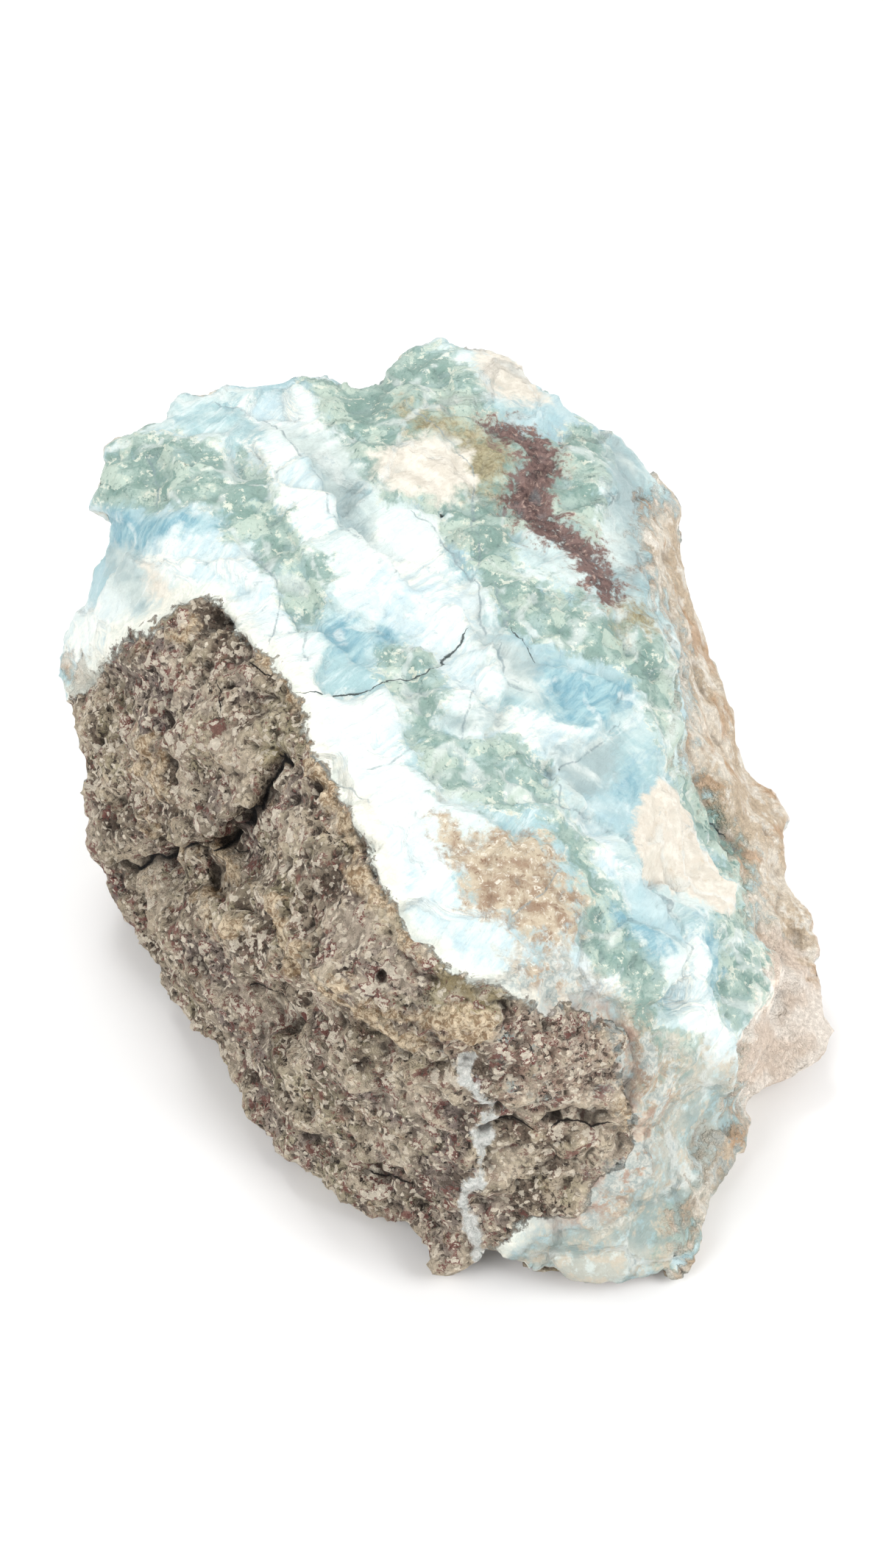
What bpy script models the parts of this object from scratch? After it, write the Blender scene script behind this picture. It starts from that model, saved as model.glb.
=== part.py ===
# Rough larimar in its basalt matrix: one natural stone, one closed solid.
# Metres, +Z up, resting on its flattened base at Z = 0, with the blue face up and the basalt at the left.
import math

import bmesh
import bpy
import numpy as np
from mathutils import Vector, noise
from mathutils.geometry import delaunay_2d_cdt

# Driving dimensions, in metres and degrees
MM = 0.001
VIEW_ELEVATION = 45.0
VIEW_DISTANCE = 450 * MM
SIGHT_HEIGHT = 27 * MM
SHAPING_GRID = 0.8 * MM
SOFTENING_ROUNDS = 4
BASE_DROP = 0.9 * MM
UNDERSIDE_FADE = 5.0 * MM
TRIANGLE_LIMIT = 9000
SEED_OFFSET = Vector((11.3, 4.7, 8.1))
FACET_SEED = 7
CELLS = 16

# The rim where the surface turns out of sight: across and up as seen, and height above the table, in mm
RIM = [
    (-39.5, 11, 25), (-38.5, 16, 28), (-37.5, 21, 33), (-36, 26.5, 38), (-36.5, 31, 40.5),
    (-36, 34, 41.5), (-34.5, 35.5, 42), (-31.5, 36, 42.5), (-29, 39.5, 42), (-27.5, 41.5, 42),
    (-23, 41, 42), (-20, 42, 42.5), (-15.5, 43.5, 42), (-11.5, 43, 41), (-7.5, 42, 40.5),
    (-5.5, 43, 40.5), (-3, 46, 41.5), (-1, 47.5, 42), (4.5, 46, 41), (8, 44.5, 40),
    (12, 41, 39.5), (14.5, 38.5, 38), (17, 35.5, 35), (20.5, 33, 32), (22.5, 32, 30),
    (25, 27.5, 27), (25, 24.5, 25), (26, 20.5, 22.5), (27.5, 16, 20), (29.5, 11, 17.5),
    (30.5, 6.5, 15.5), (31, 2.5, 13), (33, -0.5, 12), (36, -3.5, 11), (36, -9.5, 9.5),
    (37, -12, 9), (39.5, -14, 9), (40.5, -18, 8.5), (41.5, -24, 7), (40.5, -29.5, 5),
    (39, -32.5, 4), (35.5, -33.5, 3), (32.5, -33.5, 3), (32.5, -34.5, 3), (33, -36.5, 3.5),
    (31.5, -41.5, 3), (28, -46, 3), (26, -49, 3), (24, -51.5, 3), (21, -52.5, 3),
    (15.5, -52.5, 3), (11, -51, 4), (7.5, -50, 5), (5, -50, 5.5), (4, -52, 4),
    (2, -53, 3), (-0.5, -52, 3), (-5, -48.5, 3), (-8.5, -46, 3), (-13.5, -41.5, 3),
    (-16.5, -40, 3), (-19.5, -36, 3.5), (-21, -33.5, 4), (-22.5, -31, 4), (-23, -29, 4),
    (-26, -25, 4), (-29.5, -22, 4), (-31.5, -18.5, 4), (-34, -14.5, 4.5), (-35.5, -12.5, 5),
    (-35.5, -10, 6), (-37.5, -5.5, 10), (-38, -2, 14), (-37, 2, 18), (-37, 6, 22.5),
    (-37.5, 7.5, 23), (-39.5, 9.5, 24),
]

# Points on the faces in sight, in the same terms as the rim
BLUE_FACE = [
    (-31, 33, 43), (-33, 26.5, 41.5), (-34, 17.5, 36), (-36, 14, 30.5), (-23, 36, 43),
    (-23, 28, 44), (-27, 23.5, 44.5), (-15.5, 20.5, 44), (-9, 8, 44.5), (-3, -1, 44),
    (3, -9, 42), (9, -13.5, 40), (12.5, -9, 40), (15.5, 5, 38.5), (15.5, 13, 39.5),
    (11, 29.5, 39.5), (14, 23.5, 39.5), (7.5, 15, 42), (11, -1, 41.5), (3, 6.5, 43),
    (-3, 14.5, 44), (-9, 22, 43.5), (-15.5, 33, 43.5), (6, 40.5, 41), (-3, 39, 42),
    (3, 28, 41),
]
SLAB_EDGE = [
    (-26, 19.5, 44), (-30.5, 15.5, 41.5), (-33.5, 14.5, 37.5), (-23, 18, 44.5), (-19.5, 14, 45),
    (-16, 11, 45), (-14, 7, 45), (-13, 1, 44.5), (-9, -3.5, 44), (-6, -11, 43),
    (-4, -16.5, 41.5), (3, -19.5, 39.5), (7.5, -20.5, 38.5), (15.5, -19.5, 36), (23, -16.5, 33),
]
BASALT_LEFT = [
    (-27, 9, 39), (-32.5, 8, 32), (-33, 4.5, 28.5), (-21, 5, 41), (-27, 2, 34),
    (-32.5, -0.5, 24.5), (-23, -3.5, 34.5), (-17, -1, 40), (-15.5, -7, 39), (-11.5, -11, 40),
    (-21.5, -5.5, 32), (-27, -7.5, 25.5), (-31.5, -8.5, 16.5), (-21.5, -7, 29), (-27, -9, 22),
    (-31.5, -10.5, 13.5), (-29, -13, 13.5), (-23, -11.5, 27.5), (-19, -12.5, 33.5), (-15.5, -14, 36),
    (-27, -16, 18), (-23, -18, 22), (-31, -15, 7.5), (-19, -19, 27), (-23, -22, 16),
    (-26, -22, 8.5), (-13, -21, 35), (-9, -23, 33.5), (-13, -23, 31), (-9, -25, 30),
    (-17, -25.5, 20), (-20, -29, 10.5), (-14, -32, 16.5), (-6, -33.5, 22), (-9, -28, 27),
]
FRONT_FACE = [
    (-7, -25, 33.5), (-3, -26, 34), (0, -28, 33.5), (-3, -27.5, 31.5), (3, -25.5, 34.5),
    (7.5, -26.5, 33.5), (12.5, -24.5, 33), (3, -33.5, 25.5), (3, -41, 15.5), (3, -47, 7),
    (-3, -41, 10.5), (0, -45.5, 5.5), (-9, -39, 10), (7.5, -33.5, 24), (9, -41, 15),
    (12.5, -47, 8), (14.5, -29.5, 29), (19, -25, 29.5), (21, -32, 22.5), (23, -37, 14.5),
    (17, -38, 18.5), (23, -45.5, 6.5), (27.5, -37, 8), (17, -47, 7.5), (27.5, -29, 20.5),
    (31, -30, 16.5), (29.5, -25.5, 22), (27, -21, 28), (29.5, -33.5, 9.5),
]
RIGHT_SLOPE = [
    (21, -9.5, 35), (27, -15, 30), (19, -5, 36.5), (21.5, 0.5, 34.5), (24.5, 5, 33),
    (23, 13, 35.5), (21, 19, 36.5), (17, 32, 38.5), (14.5, 36.5, 39), (22, 28, 31.5),
    (24, 18, 27.5), (26, 13, 25), (27, 5, 26), (31, -1, 19.5), (25.5, -4, 27),
    (27.5, -9, 24.5), (31, -12.5, 20), (31.5, -7, 18.5), (32.5, -17, 17.5), (34, -21.5, 15.5),
    (33, -27, 13.5), (32, -31.5, 8),
]
PALE_LOBE = [
    (36, -17, 10.5), (35.5, -22.5, 9.5), (37.5, -20.5, 10.5), (38, -25.5, 8.5), (35, -28, 6),
    (37, -30, 4.5),
]

# The hidden side as plan points, in mm: x to the right, y away, z above the table
FOOT = [
    (0, -41), (14, -42), (24, -34), (29, -20), (31, -8), (29, 5), (26, 18), (20, 33), (8, 42),
    (-6, 43), (-20, 37), (-29, 26), (-29, 10), (-25, -1), (-20, -12), (-14, -24), (-7, -34),
]
BACK_WALL = [
    (-32, 22, 8), (-35, 28, 22), (-26, 40, 12), (-22, 45, 28), (-5, 48, 8), (0, 52, 22),
    (13, 44, 8), (17, 46, 21), (26, 34, 10), (31, 14, 3), (33, -2, 3), (-1, 54, 33),
]
HIGH_RIM_SWELL = 0.3
LOW_RIM_SWELL = -0.6
HIGH_RIM_FROM = 6
SHOULDER_IN = 2.5
SHOULDER_BACK = 4.0
SHOULDER_FROM = 5.5

# Steps and ledges in the seen face: a line as seen in mm, the rise on its left side, how far it reaches
STEPS = [
    ([(-16, 36), (-12.5, 33), (-10.5, 27.5), (-8, 24.5), (-5, 22)], -1.2, 6),
    ([(3, 17), (5, 15), (7, 10), (5, 6)], -1.1, 5),
    ([(-21, 25), (-17, 20.5), (-14.5, 16.5), (-12, 15), (-6, 11), (-4, 5), (0, -2), (11.5, -2)], -1.0, 4),
    ([(-19, 34), (-17.5, 29.5), (-15, 25), (-13, 19.5), (-5.5, 16), (0, 7), (7, 5), (11, 2.5)], 0.9, 4),
    ([(-12.5, 39), (-7.5, 33), (-5.5, 29), (0, 29), (2, 25), (4, 19)], 0.6, 5),
    ([(-23, 18), (-19.5, 14), (-16, 11), (-14, 6), (-13, 1), (-9, -4), (-6, -11), (-4, -16.5)], 0.7, 3),
    ([(21, -9.5), (24, -13.5), (25.5, -17), (24, -20.5), (23, -22)], -1.0, 4),
    ([(27, -15), (28.5, -20.5), (29.5, -25), (31, -29)], -0.9, 3),
    ([(11.5, 2), (12, -1), (15.5, -2.5), (19, -5)], 0.9, 4),
    ([(11, 12.5), (15, 12), (19, 10), (17, 6.5)], -0.7, 4),
    ([(-35, 30), (-28, 32), (-23, 36), (-19, 40)], 0.7, 5),
    ([(-24, -6.5), (-21, -9), (-18.5, -11.5), (-17, -14), (-16, -17), (-14.5, -19), (-11, -21.5)], 1.3, 4),
    ([(-28, -10.5), (-25.5, -12), (-23.5, -13.5), (-22.5, -16.5), (-21.5, -18.5), (-18, -22)], 1.2, 4),
    ([(-31.5, 4), (-30.5, 1.5), (-29.5, -0.5), (-30.5, -2.5), (-29, -4.5), (-27, -7)], 0.9, 3),
    ([(-12.5, -21.5), (-9, -23), (-5.5, -26), (-1, -27.5), (3, -27), (4.5, -25)], 1.4, 5),
    ([(-22, -5.5), (-26, -7), (-33.5, -8.5)], -1.4, 5),
    ([(-28.5, -18), (-26, -21.5), (-23, -25.5), (-19.5, -29)], 0.8, 3),
    ([(5.5, -35.5), (9.5, -36), (14, -35.5), (18, -35)], 1.0, 4),
]
STEP_WIDTH = 0.8

# Grooves, cracks and undercuts: a line as seen in mm, depth and half width
GROOVES = [
    ([(-14.5, 9), (-8, 10), (-2, 11.5), (0, 13.5), (2.5, 16)], 0.7, 0.6),
    ([(-15.5, 2), (-17, 3), (-18.5, 0), (-19.5, -3), (-21.5, -5)], 1.8, 0.8),
    ([(-21.5, -5), (-23, -6.5), (-26, -7), (-30, -8), (-33.5, -8.5)], 2.6, 1.1),
    ([(-21, -21.5), (-18, -22), (-15.5, -24.5), (-15.5, -27)], 2.0, 1.0),
    ([(-13, -22), (-9, -24.5), (-6.5, -26.5), (-1, -28.5)], 1.8, 0.9),
    ([(6, -36), (9, -35.5), (12, -36), (15.5, -35), (18, -35.5)], 1.6, 0.9),
    ([(-8, -40.5), (-5, -41), (-3, -42)], 1.5, 0.9),
    ([(27, -1), (29, -4), (31.5, -6)], 1.4, 0.8),
    ([(3.5, -27), (2.5, -29.5), (4.5, -34), (4, -41), (2.5, -43.5), (3.5, -49)], 0.9, 0.9),
    ([(5.5, 37), (10, 35.5), (12, 33), (9, 29), (13, 25.5), (17.5, 22.5), (19.5, 19)], 0.7, 1.2),
    ([(-27, 10), (-30, 5), (-32, 0)], 0.9, 0.8),
    ([(-8, -37), (-6, -33), (-8, -29)], 1.0, 1.0),
]

# Hollows and lumps: centre as seen in mm, half width, half height, and how far the surface moves out
MOUNDS = [
    ((-22.5, -9), 4.5, 2.2, -2.4),
    ((-18, -24.5), 2.5, 2.2, -2.4),
    ((-34, -4), 1.2, 1.2, -0.9),
    ((-30.5, 2.5), 1.6, 1.2, -0.9),
    ((-24, -17), 1.1, 1.4, -1.2),
    ((-14.5, -14), 2.0, 1.0, -0.9),
    ((9, -9), 6.0, 5.5, 0.8),
    ((14.5, 9.5), 4.5, 3.0, -1.0),
    ((3.5, 39.5), 3.5, 3.0, 1.0),
    ((9.5, 26), 4.5, 3.0, 0.8),
    ((-4, 31), 4.5, 3.5, 1.0),
    ((33, -20), 2.2, 2.6, 0.9),
    ((26.5, -9), 3.5, 5.0, -1.1),
    ((37.5, -23.5), 1.2, 1.4, -1.1),
    ((36, -27), 2.2, 2.0, 0.8),
    ((-26, 29), 4.0, 3.0, 0.8),
    ((-33.5, 24), 2.5, 2.5, -1.0),
    ((-35.5, 14), 2.0, 2.0, 0.7),
    ((-28, 4), 4.0, 2.5, 1.0),
    ((-20, -14.5), 3.0, 2.0, 1.0),
    ((-8, -19), 4.0, 2.0, 0.9),
    ((22, -41), 3.5, 3.5, 0.9),
    ((13, -42), 3.5, 3.0, -1.0),
    ((10, -31), 3.5, 2.5, 0.9),
    ((-14, -35), 2.5, 2.5, 0.8),
]

# Roughness of the broken surfaces: wavelength and depth
ROCK_LUMPS = (9.0 * MM, 1.3 * MM)
ROCK_FACETS = (7.0 * MM, 1.1 * MM)
ROCK_CHIPS = (3.4 * MM, 0.55 * MM)
HIDDEN_FACETS = (17.0 * MM, 2.6 * MM)
BLUE_LUMPS = (8.0 * MM, 0.45 * MM)
BLUE_FACETS = (5.5 * MM, 0.45 * MM)
FIBRE_DIRECTION = (0.5, 0.85, 0.15)
FIBRE_SHARE = 0.55
GRAIN_BLEND = 1.5

# Edge of the basalt on the faces in sight, as seen in mm
BASALT_EDGE = [
    (-40, 12), (-34, 14), (-30.5, 15), (-26, 19), (-23, 18.5), (-19.5, 14), (-16, 10.5),
    (-13.5, 6), (-13, 1), (-9, -4), (-6, -11), (-4, -16.5), (3, -19.5), (8, -21), (19, -26),
    (20, -38), (12, -43), (5, -48), (0, -54), (-45, -54), (-45, 12),
]

ELEVATION = math.radians(VIEW_ELEVATION)
SIGHT = np.array([0.0, -math.cos(ELEVATION), math.sin(ELEVATION)])
SEEN_UP = np.array([0.0, math.sin(ELEVATION), math.cos(ELEVATION)])


def placed(across, up, height):
    """World point that appears at across, up and stands at this height, all in mm."""
    across, up = across * MM, up * MM
    drop = (height * MM - SIGHT_HEIGHT) / math.sin(ELEVATION)
    near = (drop - up) / (1 - up / VIEW_DISTANCE)
    shrink = (VIEW_DISTANCE - near) / VIEW_DISTANCE
    spot = np.array([across * shrink, 0.0, SIGHT_HEIGHT])
    return spot + SEEN_UP * up * shrink + SIGHT * near


def seen(points):
    """Across and up, in mm, at which world points appear."""
    local = points - np.array([0.0, 0.0, SIGHT_HEIGHT])
    spread = VIEW_DISTANCE / (VIEW_DISTANCE - local @ SIGHT)
    return np.stack([local[:, 0] * spread, (local @ SEEN_UP) * spread], axis=1) / MM


def sheet(points, rim_count):
    """Triangles over the seen outline, through all the points, with the rim as its border."""
    flat = [Vector(p) for p in seen(np.array(points))]
    result = delaunay_2d_cdt(flat, [], [list(range(rim_count))], 1, 1e-6)
    origin = [ids[0] for ids in result[3]]
    return [[origin[i] for i in face] for face in result[2]]


def rim_points():
    """The rim, let out where softening would draw it in, and drawn in where relief would push it out."""
    found = []
    for across, up, height in RIM:
        swell = HIGH_RIM_SWELL if height > HIGH_RIM_FROM else LOW_RIM_SWELL
        grown = 1 + swell / math.hypot(across, up)
        found.append(placed(across * grown, up * grown, height))
    return found


def shoulders(rim):
    """Points just behind the rim that round its turn out of sight."""
    found = []
    for (across, up, height), point in zip(RIM, rim):
        if height < SHOULDER_FROM:
            continue
        inward = np.array([-across, 0.0, 0.0]) - SEEN_UP * up
        inward /= np.linalg.norm(inward)
        found.append(point + (inward * SHOULDER_IN - SIGHT * SHOULDER_BACK) * MM)
    return found


def rough_block():
    """The closed block between the faces in sight and the hidden side."""
    rim = rim_points()
    front_lists = (BLUE_FACE, SLAB_EDGE, BASALT_LEFT, FRONT_FACE, RIGHT_SLOPE, PALE_LOBE)
    front = [placed(*p) for group in front_lists for p in group]
    foot = [np.array([x * MM, y * MM, -BASE_DROP]) for x, y in FOOT]
    back = foot + [np.array(p) * MM for p in BACK_WALL] + shoulders(rim)
    front_faces = sheet(rim + front, len(rim))
    back_faces = sheet(rim + back, len(rim))
    first_back = len(front)
    shifted = [[i if i < len(rim) else i + first_back for i in face] for face in back_faces]
    mesh = bpy.data.meshes.new("larimar_stone")
    faces = front_faces + [face[::-1] for face in shifted]
    mesh.from_pydata([Vector(p) for p in rim + front + back], [], faces)
    mesh.update()
    return mesh


def regridded(obj, size):
    """Replace the mesh by an even closed skin of small quads."""
    modifier = obj.modifiers.new("grid", "REMESH")
    modifier.mode = "VOXEL"
    modifier.voxel_size = size
    modifier.adaptivity = 0.0
    take_result(obj)


def softened(obj, rounds):
    """Round the creases between the first large facets."""
    modifier = obj.modifiers.new("soften", "SMOOTH")
    modifier.factor = 0.5
    modifier.iterations = rounds
    take_result(obj)


def take_result(obj):
    """Keep what the modifiers make and drop the modifiers."""
    bpy.context.view_layer.update()
    graph = bpy.context.evaluated_depsgraph_get()
    result = bpy.data.meshes.new_from_object(obj.evaluated_get(graph))
    obj.modifiers.clear()
    obj.data = result


def line_distance(flat, line):
    """Distance to a polyline and the side of it: positive on its left."""
    best = np.full(len(flat), 1e9)
    side = np.zeros(len(flat))
    for start, end in zip(np.array(line[:-1], float), np.array(line[1:], float)):
        along = end - start
        offset = flat - start
        share = np.clip(offset @ along / (along @ along), 0, 1)
        away = np.linalg.norm(offset - share[:, None] * along, axis=1)
        closer = away < best
        best[closer] = away[closer]
        cross = along[0] * offset[:, 1] - along[1] * offset[:, 0]
        side[closer] = np.sign(cross[closer])
    return best, side


def inside(flat, outline):
    """Which seen points lie inside an outline."""
    found = np.zeros(len(flat), bool)
    x, y = flat[:, 0], flat[:, 1]
    for (x0, y0), (x1, y1) in zip(outline, outline[1:] + outline[:1]):
        if y0 == y1:
            continue
        crosses = (y0 > y) != (y1 > y)
        found ^= crosses & (x < (x1 - x0) * (y - y0) / (y1 - y0) + x0)
    return found


def soft(value):
    """Smooth ramp from 0 to 1."""
    value = np.clip(value, 0, 1)
    return value * value * (3 - 2 * value)


def grain(points, scale):
    """Seeded noise at this wavelength, one value for each point."""
    return np.array([noise.noise(Vector(p / scale) + SEED_OFFSET) for p in points])


def facets(points, scale):
    """Seeded broken facets of this width: each cell of the rock is a small tilted plane."""
    chance = np.random.RandomState(FACET_SEED)
    jitter = chance.uniform(0, 1, (CELLS, CELLS, CELLS, 3))
    tilts = chance.uniform(-1, 1, (CELLS, CELLS, CELLS, 3))
    spots = points / scale + np.array(SEED_OFFSET)
    corner = np.floor(spots).astype(int)
    closest = np.full(len(points), 1e9)
    height = np.zeros(len(points))
    for step in np.ndindex(3, 3, 3):
        cell = corner + np.array(step) - 1
        wrapped = tuple((cell % CELLS).T)
        offset = spots - (cell + jitter[wrapped])
        away = np.linalg.norm(offset, axis=1)
        closer = away < closest
        closest[closer] = away[closer]
        height[closer] = np.sum(tilts[wrapped] * offset, axis=1)[closer]
    return height


def relief(points, normals):
    """How far each point moves out along its normal."""
    flat = seen(points)
    facing = soft((normals @ SIGHT) / 0.25)
    moved = np.zeros(len(points))
    for line, rise, reach in STEPS:
        away, side = line_distance(flat, line)
        edge = soft((away * side + STEP_WIDTH / 2) / STEP_WIDTH)
        moved += facing * rise * (edge - 0.5) * (1 - soft(away / reach))
    for line, depth, half in GROOVES:
        away, side = line_distance(flat, line)
        moved -= facing * depth * np.exp(-((away / half) ** 2))
    for (across, up), half_x, half_y, out in MOUNDS:
        away = ((flat[:, 0] - across) / half_x) ** 2 + ((flat[:, 1] - up) / half_y) ** 2
        moved += facing * out * np.exp(-away)
    away, side = line_distance(flat, BASALT_EDGE + BASALT_EDGE[:1])
    depth = np.where(inside(flat, BASALT_EDGE), away, -away)
    rocky = np.maximum(soft(depth / GRAIN_BLEND + 0.5), 1 - facing)
    fibre = np.array(FIBRE_DIRECTION) / np.linalg.norm(FIBRE_DIRECTION)
    along_fibre = points - FIBRE_SHARE * np.outer(points @ fibre, fibre)
    rock = ROCK_LUMPS[1] * grain(points, ROCK_LUMPS[0])
    rock += ROCK_FACETS[1] * facets(points, ROCK_FACETS[0])
    rock += ROCK_CHIPS[1] * facets(points, ROCK_CHIPS[0])
    rock += (1 - facing) * HIDDEN_FACETS[1] * facets(points, HIDDEN_FACETS[0])
    blue = BLUE_LUMPS[1] * grain(along_fibre, BLUE_LUMPS[0])
    blue += BLUE_FACETS[1] * facets(along_fibre, BLUE_FACETS[0])
    return moved * MM + rock * rocky + blue * (1 - rocky)


def shaped(obj):
    """Carry the relief into the mesh."""
    mesh = obj.data
    count = len(mesh.vertices)
    points = np.empty(count * 3)
    normals = np.empty(count * 3)
    mesh.vertices.foreach_get("co", points)
    mesh.vertices.foreach_get("normal", normals)
    points = points.reshape(-1, 3)
    normals = normals.reshape(-1, 3)
    # The underside keeps its level
    hold = soft((points[:, 2] + BASE_DROP) / UNDERSIDE_FADE)
    moved = points + normals * (relief(points, normals) * hold)[:, None]
    mesh.vertices.foreach_set("co", moved.ravel())
    mesh.update()


def thinned(obj, target):
    """Fewer, larger facets where the surface is plain."""
    modifier = obj.modifiers.new("thin", "DECIMATE")
    modifier.ratio = target / (2 * len(obj.data.polygons))
    modifier.use_collapse_triangulate = True
    take_result(obj)


def drop_crumbs(work):
    """Keep only the largest connected body."""
    waiting = set(work.verts)
    bodies = []
    while waiting:
        body = {waiting.pop()}
        edge = list(body)
        while edge:
            linked = {e.other_vert(v) for v in edge for e in v.link_edges} & waiting
            waiting -= linked
            body |= linked
            edge = list(linked)
        bodies.append(body)
    bodies.sort(key=len)
    crumbs = [v for body in bodies[:-1] for v in body]
    bmesh.ops.delete(work, geom=crumbs, context="VERTS")


def level_base(mesh):
    """Cut the underside off flat at the table and centre the stone over the origin."""
    work = bmesh.new()
    work.from_mesh(mesh)
    everything = list(work.verts) + list(work.edges) + list(work.faces)
    bmesh.ops.bisect_plane(
        work, geom=everything, dist=1e-6, plane_co=(0, 0, 0), plane_no=(0, 0, -1), clear_outer=True
    )
    drop_crumbs(work)
    border = [e for e in work.edges if e.is_boundary]
    bmesh.ops.contextual_create(work, geom=border)
    bmesh.ops.triangulate(work, faces=work.faces[:])
    bmesh.ops.recalc_face_normals(work, faces=work.faces[:])
    xs = [v.co.x for v in work.verts]
    ys = [v.co.y for v in work.verts]
    middle = Vector(((min(xs) + max(xs)) / 2, (min(ys) + max(ys)) / 2, 0.0))
    for vertex in work.verts:
        vertex.co -= middle
    work.to_mesh(mesh)
    work.free()
    print("centre offset in mm", round(middle.x / MM, 3), round(middle.y / MM, 3))


def stone_material():
    """Pale blue pectolite, silky and not metallic."""
    material = bpy.data.materials.new("larimar_in_basalt")
    material.use_nodes = True
    shader = material.node_tree.nodes["Principled BSDF"]
    shader.inputs["Base Color"].default_value = (0.45, 0.62, 0.66, 1.0)
    shader.inputs["Roughness"].default_value = 0.5
    shader.inputs["Metallic"].default_value = 0.0
    return material


for leftover in list(bpy.data.objects):
    bpy.data.objects.remove(leftover)
stone = bpy.data.objects.new("larimar_stone", rough_block())
bpy.context.scene.collection.objects.link(stone)
regridded(stone, SHAPING_GRID)
softened(stone, SOFTENING_ROUNDS)
shaped(stone)
regridded(stone, SHAPING_GRID)
thinned(stone, TRIANGLE_LIMIT)
level_base(stone.data)
stone.data.materials.clear()
stone.data.materials.append(stone_material())
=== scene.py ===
# Rough larimar in its basalt matrix: the finished look of the stone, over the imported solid
import math

import bpy
import numpy as np
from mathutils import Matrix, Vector


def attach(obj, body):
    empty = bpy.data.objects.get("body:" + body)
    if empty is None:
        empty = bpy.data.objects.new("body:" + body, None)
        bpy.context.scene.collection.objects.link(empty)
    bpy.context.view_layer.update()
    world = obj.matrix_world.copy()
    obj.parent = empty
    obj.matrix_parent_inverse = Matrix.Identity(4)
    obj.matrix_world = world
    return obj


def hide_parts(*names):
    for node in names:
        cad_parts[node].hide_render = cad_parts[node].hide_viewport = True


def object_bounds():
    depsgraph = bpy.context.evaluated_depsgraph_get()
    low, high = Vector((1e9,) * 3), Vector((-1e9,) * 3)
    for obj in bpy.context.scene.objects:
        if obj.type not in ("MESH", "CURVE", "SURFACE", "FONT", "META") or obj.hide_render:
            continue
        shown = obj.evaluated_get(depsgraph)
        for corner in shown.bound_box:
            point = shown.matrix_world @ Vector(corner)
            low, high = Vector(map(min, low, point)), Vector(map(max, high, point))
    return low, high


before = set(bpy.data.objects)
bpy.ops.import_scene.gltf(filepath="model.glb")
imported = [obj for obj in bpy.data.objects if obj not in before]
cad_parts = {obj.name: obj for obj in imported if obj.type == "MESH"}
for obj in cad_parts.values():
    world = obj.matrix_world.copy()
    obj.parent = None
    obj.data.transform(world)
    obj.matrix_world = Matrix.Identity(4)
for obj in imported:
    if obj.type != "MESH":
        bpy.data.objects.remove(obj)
CAD_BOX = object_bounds()

MM = 0.001

# The photograph's view: the eye looks along +Y and down at the stone
ELEVATION = math.radians(45.0)
EYE_DISTANCE = 450 * MM
SIGHT_HEIGHT = 27 * MM
FRAME_HEIGHT = 164 * MM
SENSOR = 36.0
PLAN_SHIFT = np.array([0.141, 4.662, 0.0]) * MM
SIGHT = np.array([0.0, -math.cos(ELEVATION), math.sin(ELEVATION)])
SEEN_UP = np.array([0.0, math.sin(ELEVATION), math.cos(ELEVATION)])

# Soft studio light: name, place, size and power of each lamp, then the sky's strength
LIGHTS = [
    ("key", (-0.18, 0.45, 0.75), 0.3, 3.5),
    ("fill", (-0.5, -0.5, 0.5), 0.5, 3.7),
    ("side", (0.6, -0.25, 0.45), 0.5, 4.2),
]
SKY_STRENGTH = 0.55
FLOOR_HALF = 3.0

# The skin's fineness, and its flat foot: few faces, no relief, and relief that fades in above it
SKIN_GRID = 0.508 * MM
RELAX_ROUNDS = 8
FOOT_BAND = 0.05 * MM
FOOT_THINNING = 0.9
FOOT_FLAT = 0.3 * MM
FOOT_FADE = 1.5 * MM

# Rounds of smoothing for the copies that tell which way the stone faces and how sunk a point lies
FACING_ROUNDS = 60
HOLLOW_ROUNDS = 22

# How squarely a point must face the eye for the markings, the lines and the rock seen there to hold
FACING_FROM = -0.05
FRONT_FROM = 0.15
ROCK_FROM = -0.55
TILT_FADE = 0.3

# Noises: cells before they repeat, their shift from the origin, and the softness of cell borders
CELLS = 16
LATTICE_SHIFT = 40.5
BORDER_WIDTH = 0.12

# The furthest that depths in markings and distances from lines are told apart, in mm
ZONE_REACH = 6.0
LINE_REACH = 2.0

# Pectolite plates and green flakes: width, step from one to the next, and tilt, in mm
PLATE_SIZE = 7.0
PLATE_STEP = 1.3
PLATE_TILT = 0.8
FLAKE_SIZE = 2.6
FLAKE_STEP = 0.4
FLAKE_TILT = 0.5

# Basalt crests and crystals: width and height in mm, and how rare crystals are, from 0 to 1
CREST_SIZE = 9
CREST_RISE = 0.7
CRYSTAL_SIZE = 1.8
CRYSTAL_RISE = 0.25
CRYSTAL_RARE = 0.68

# Chipped facets of the basalt, fibrous ledges of the pectolite: width in mm, height, a seed
CHIPS = [(3.6, 1.0, 31), (1.6, 0.6, 32)]
LEDGES = [(2.6, 0.5, 42), (1.3, 0.25, 43)]

# The lie of the ledges' fibres, and the share of the way along them that their noises leave out
FIBRE_LIE = np.array([0.7, 0.7, 0.1])
FIBRE_STRETCH = 0.75

# Gas pits in the basalt: wavelength in mm, how rare they are, depth in mm, a seed
PITS = [(2.6, 0.7, 0.6, 36), (1.5, 0.62, 0.5, 37)]

# A swell at the top right: where it is as seen, how far it reaches and how high it is, in mm
SWELL_AT = (24, 33)
SWELL_REACH = 6
SWELL = 1.4

# How far slab, crusts and vein stand out, the width of a step, and how far all is set back, in mm
SLAB_RISE = 0.7
CRUST_RISE = 0.6
VEIN_RISE = 0.4
STEP_WIDTH = 0.5
SET_BACK = 0.05

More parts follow.
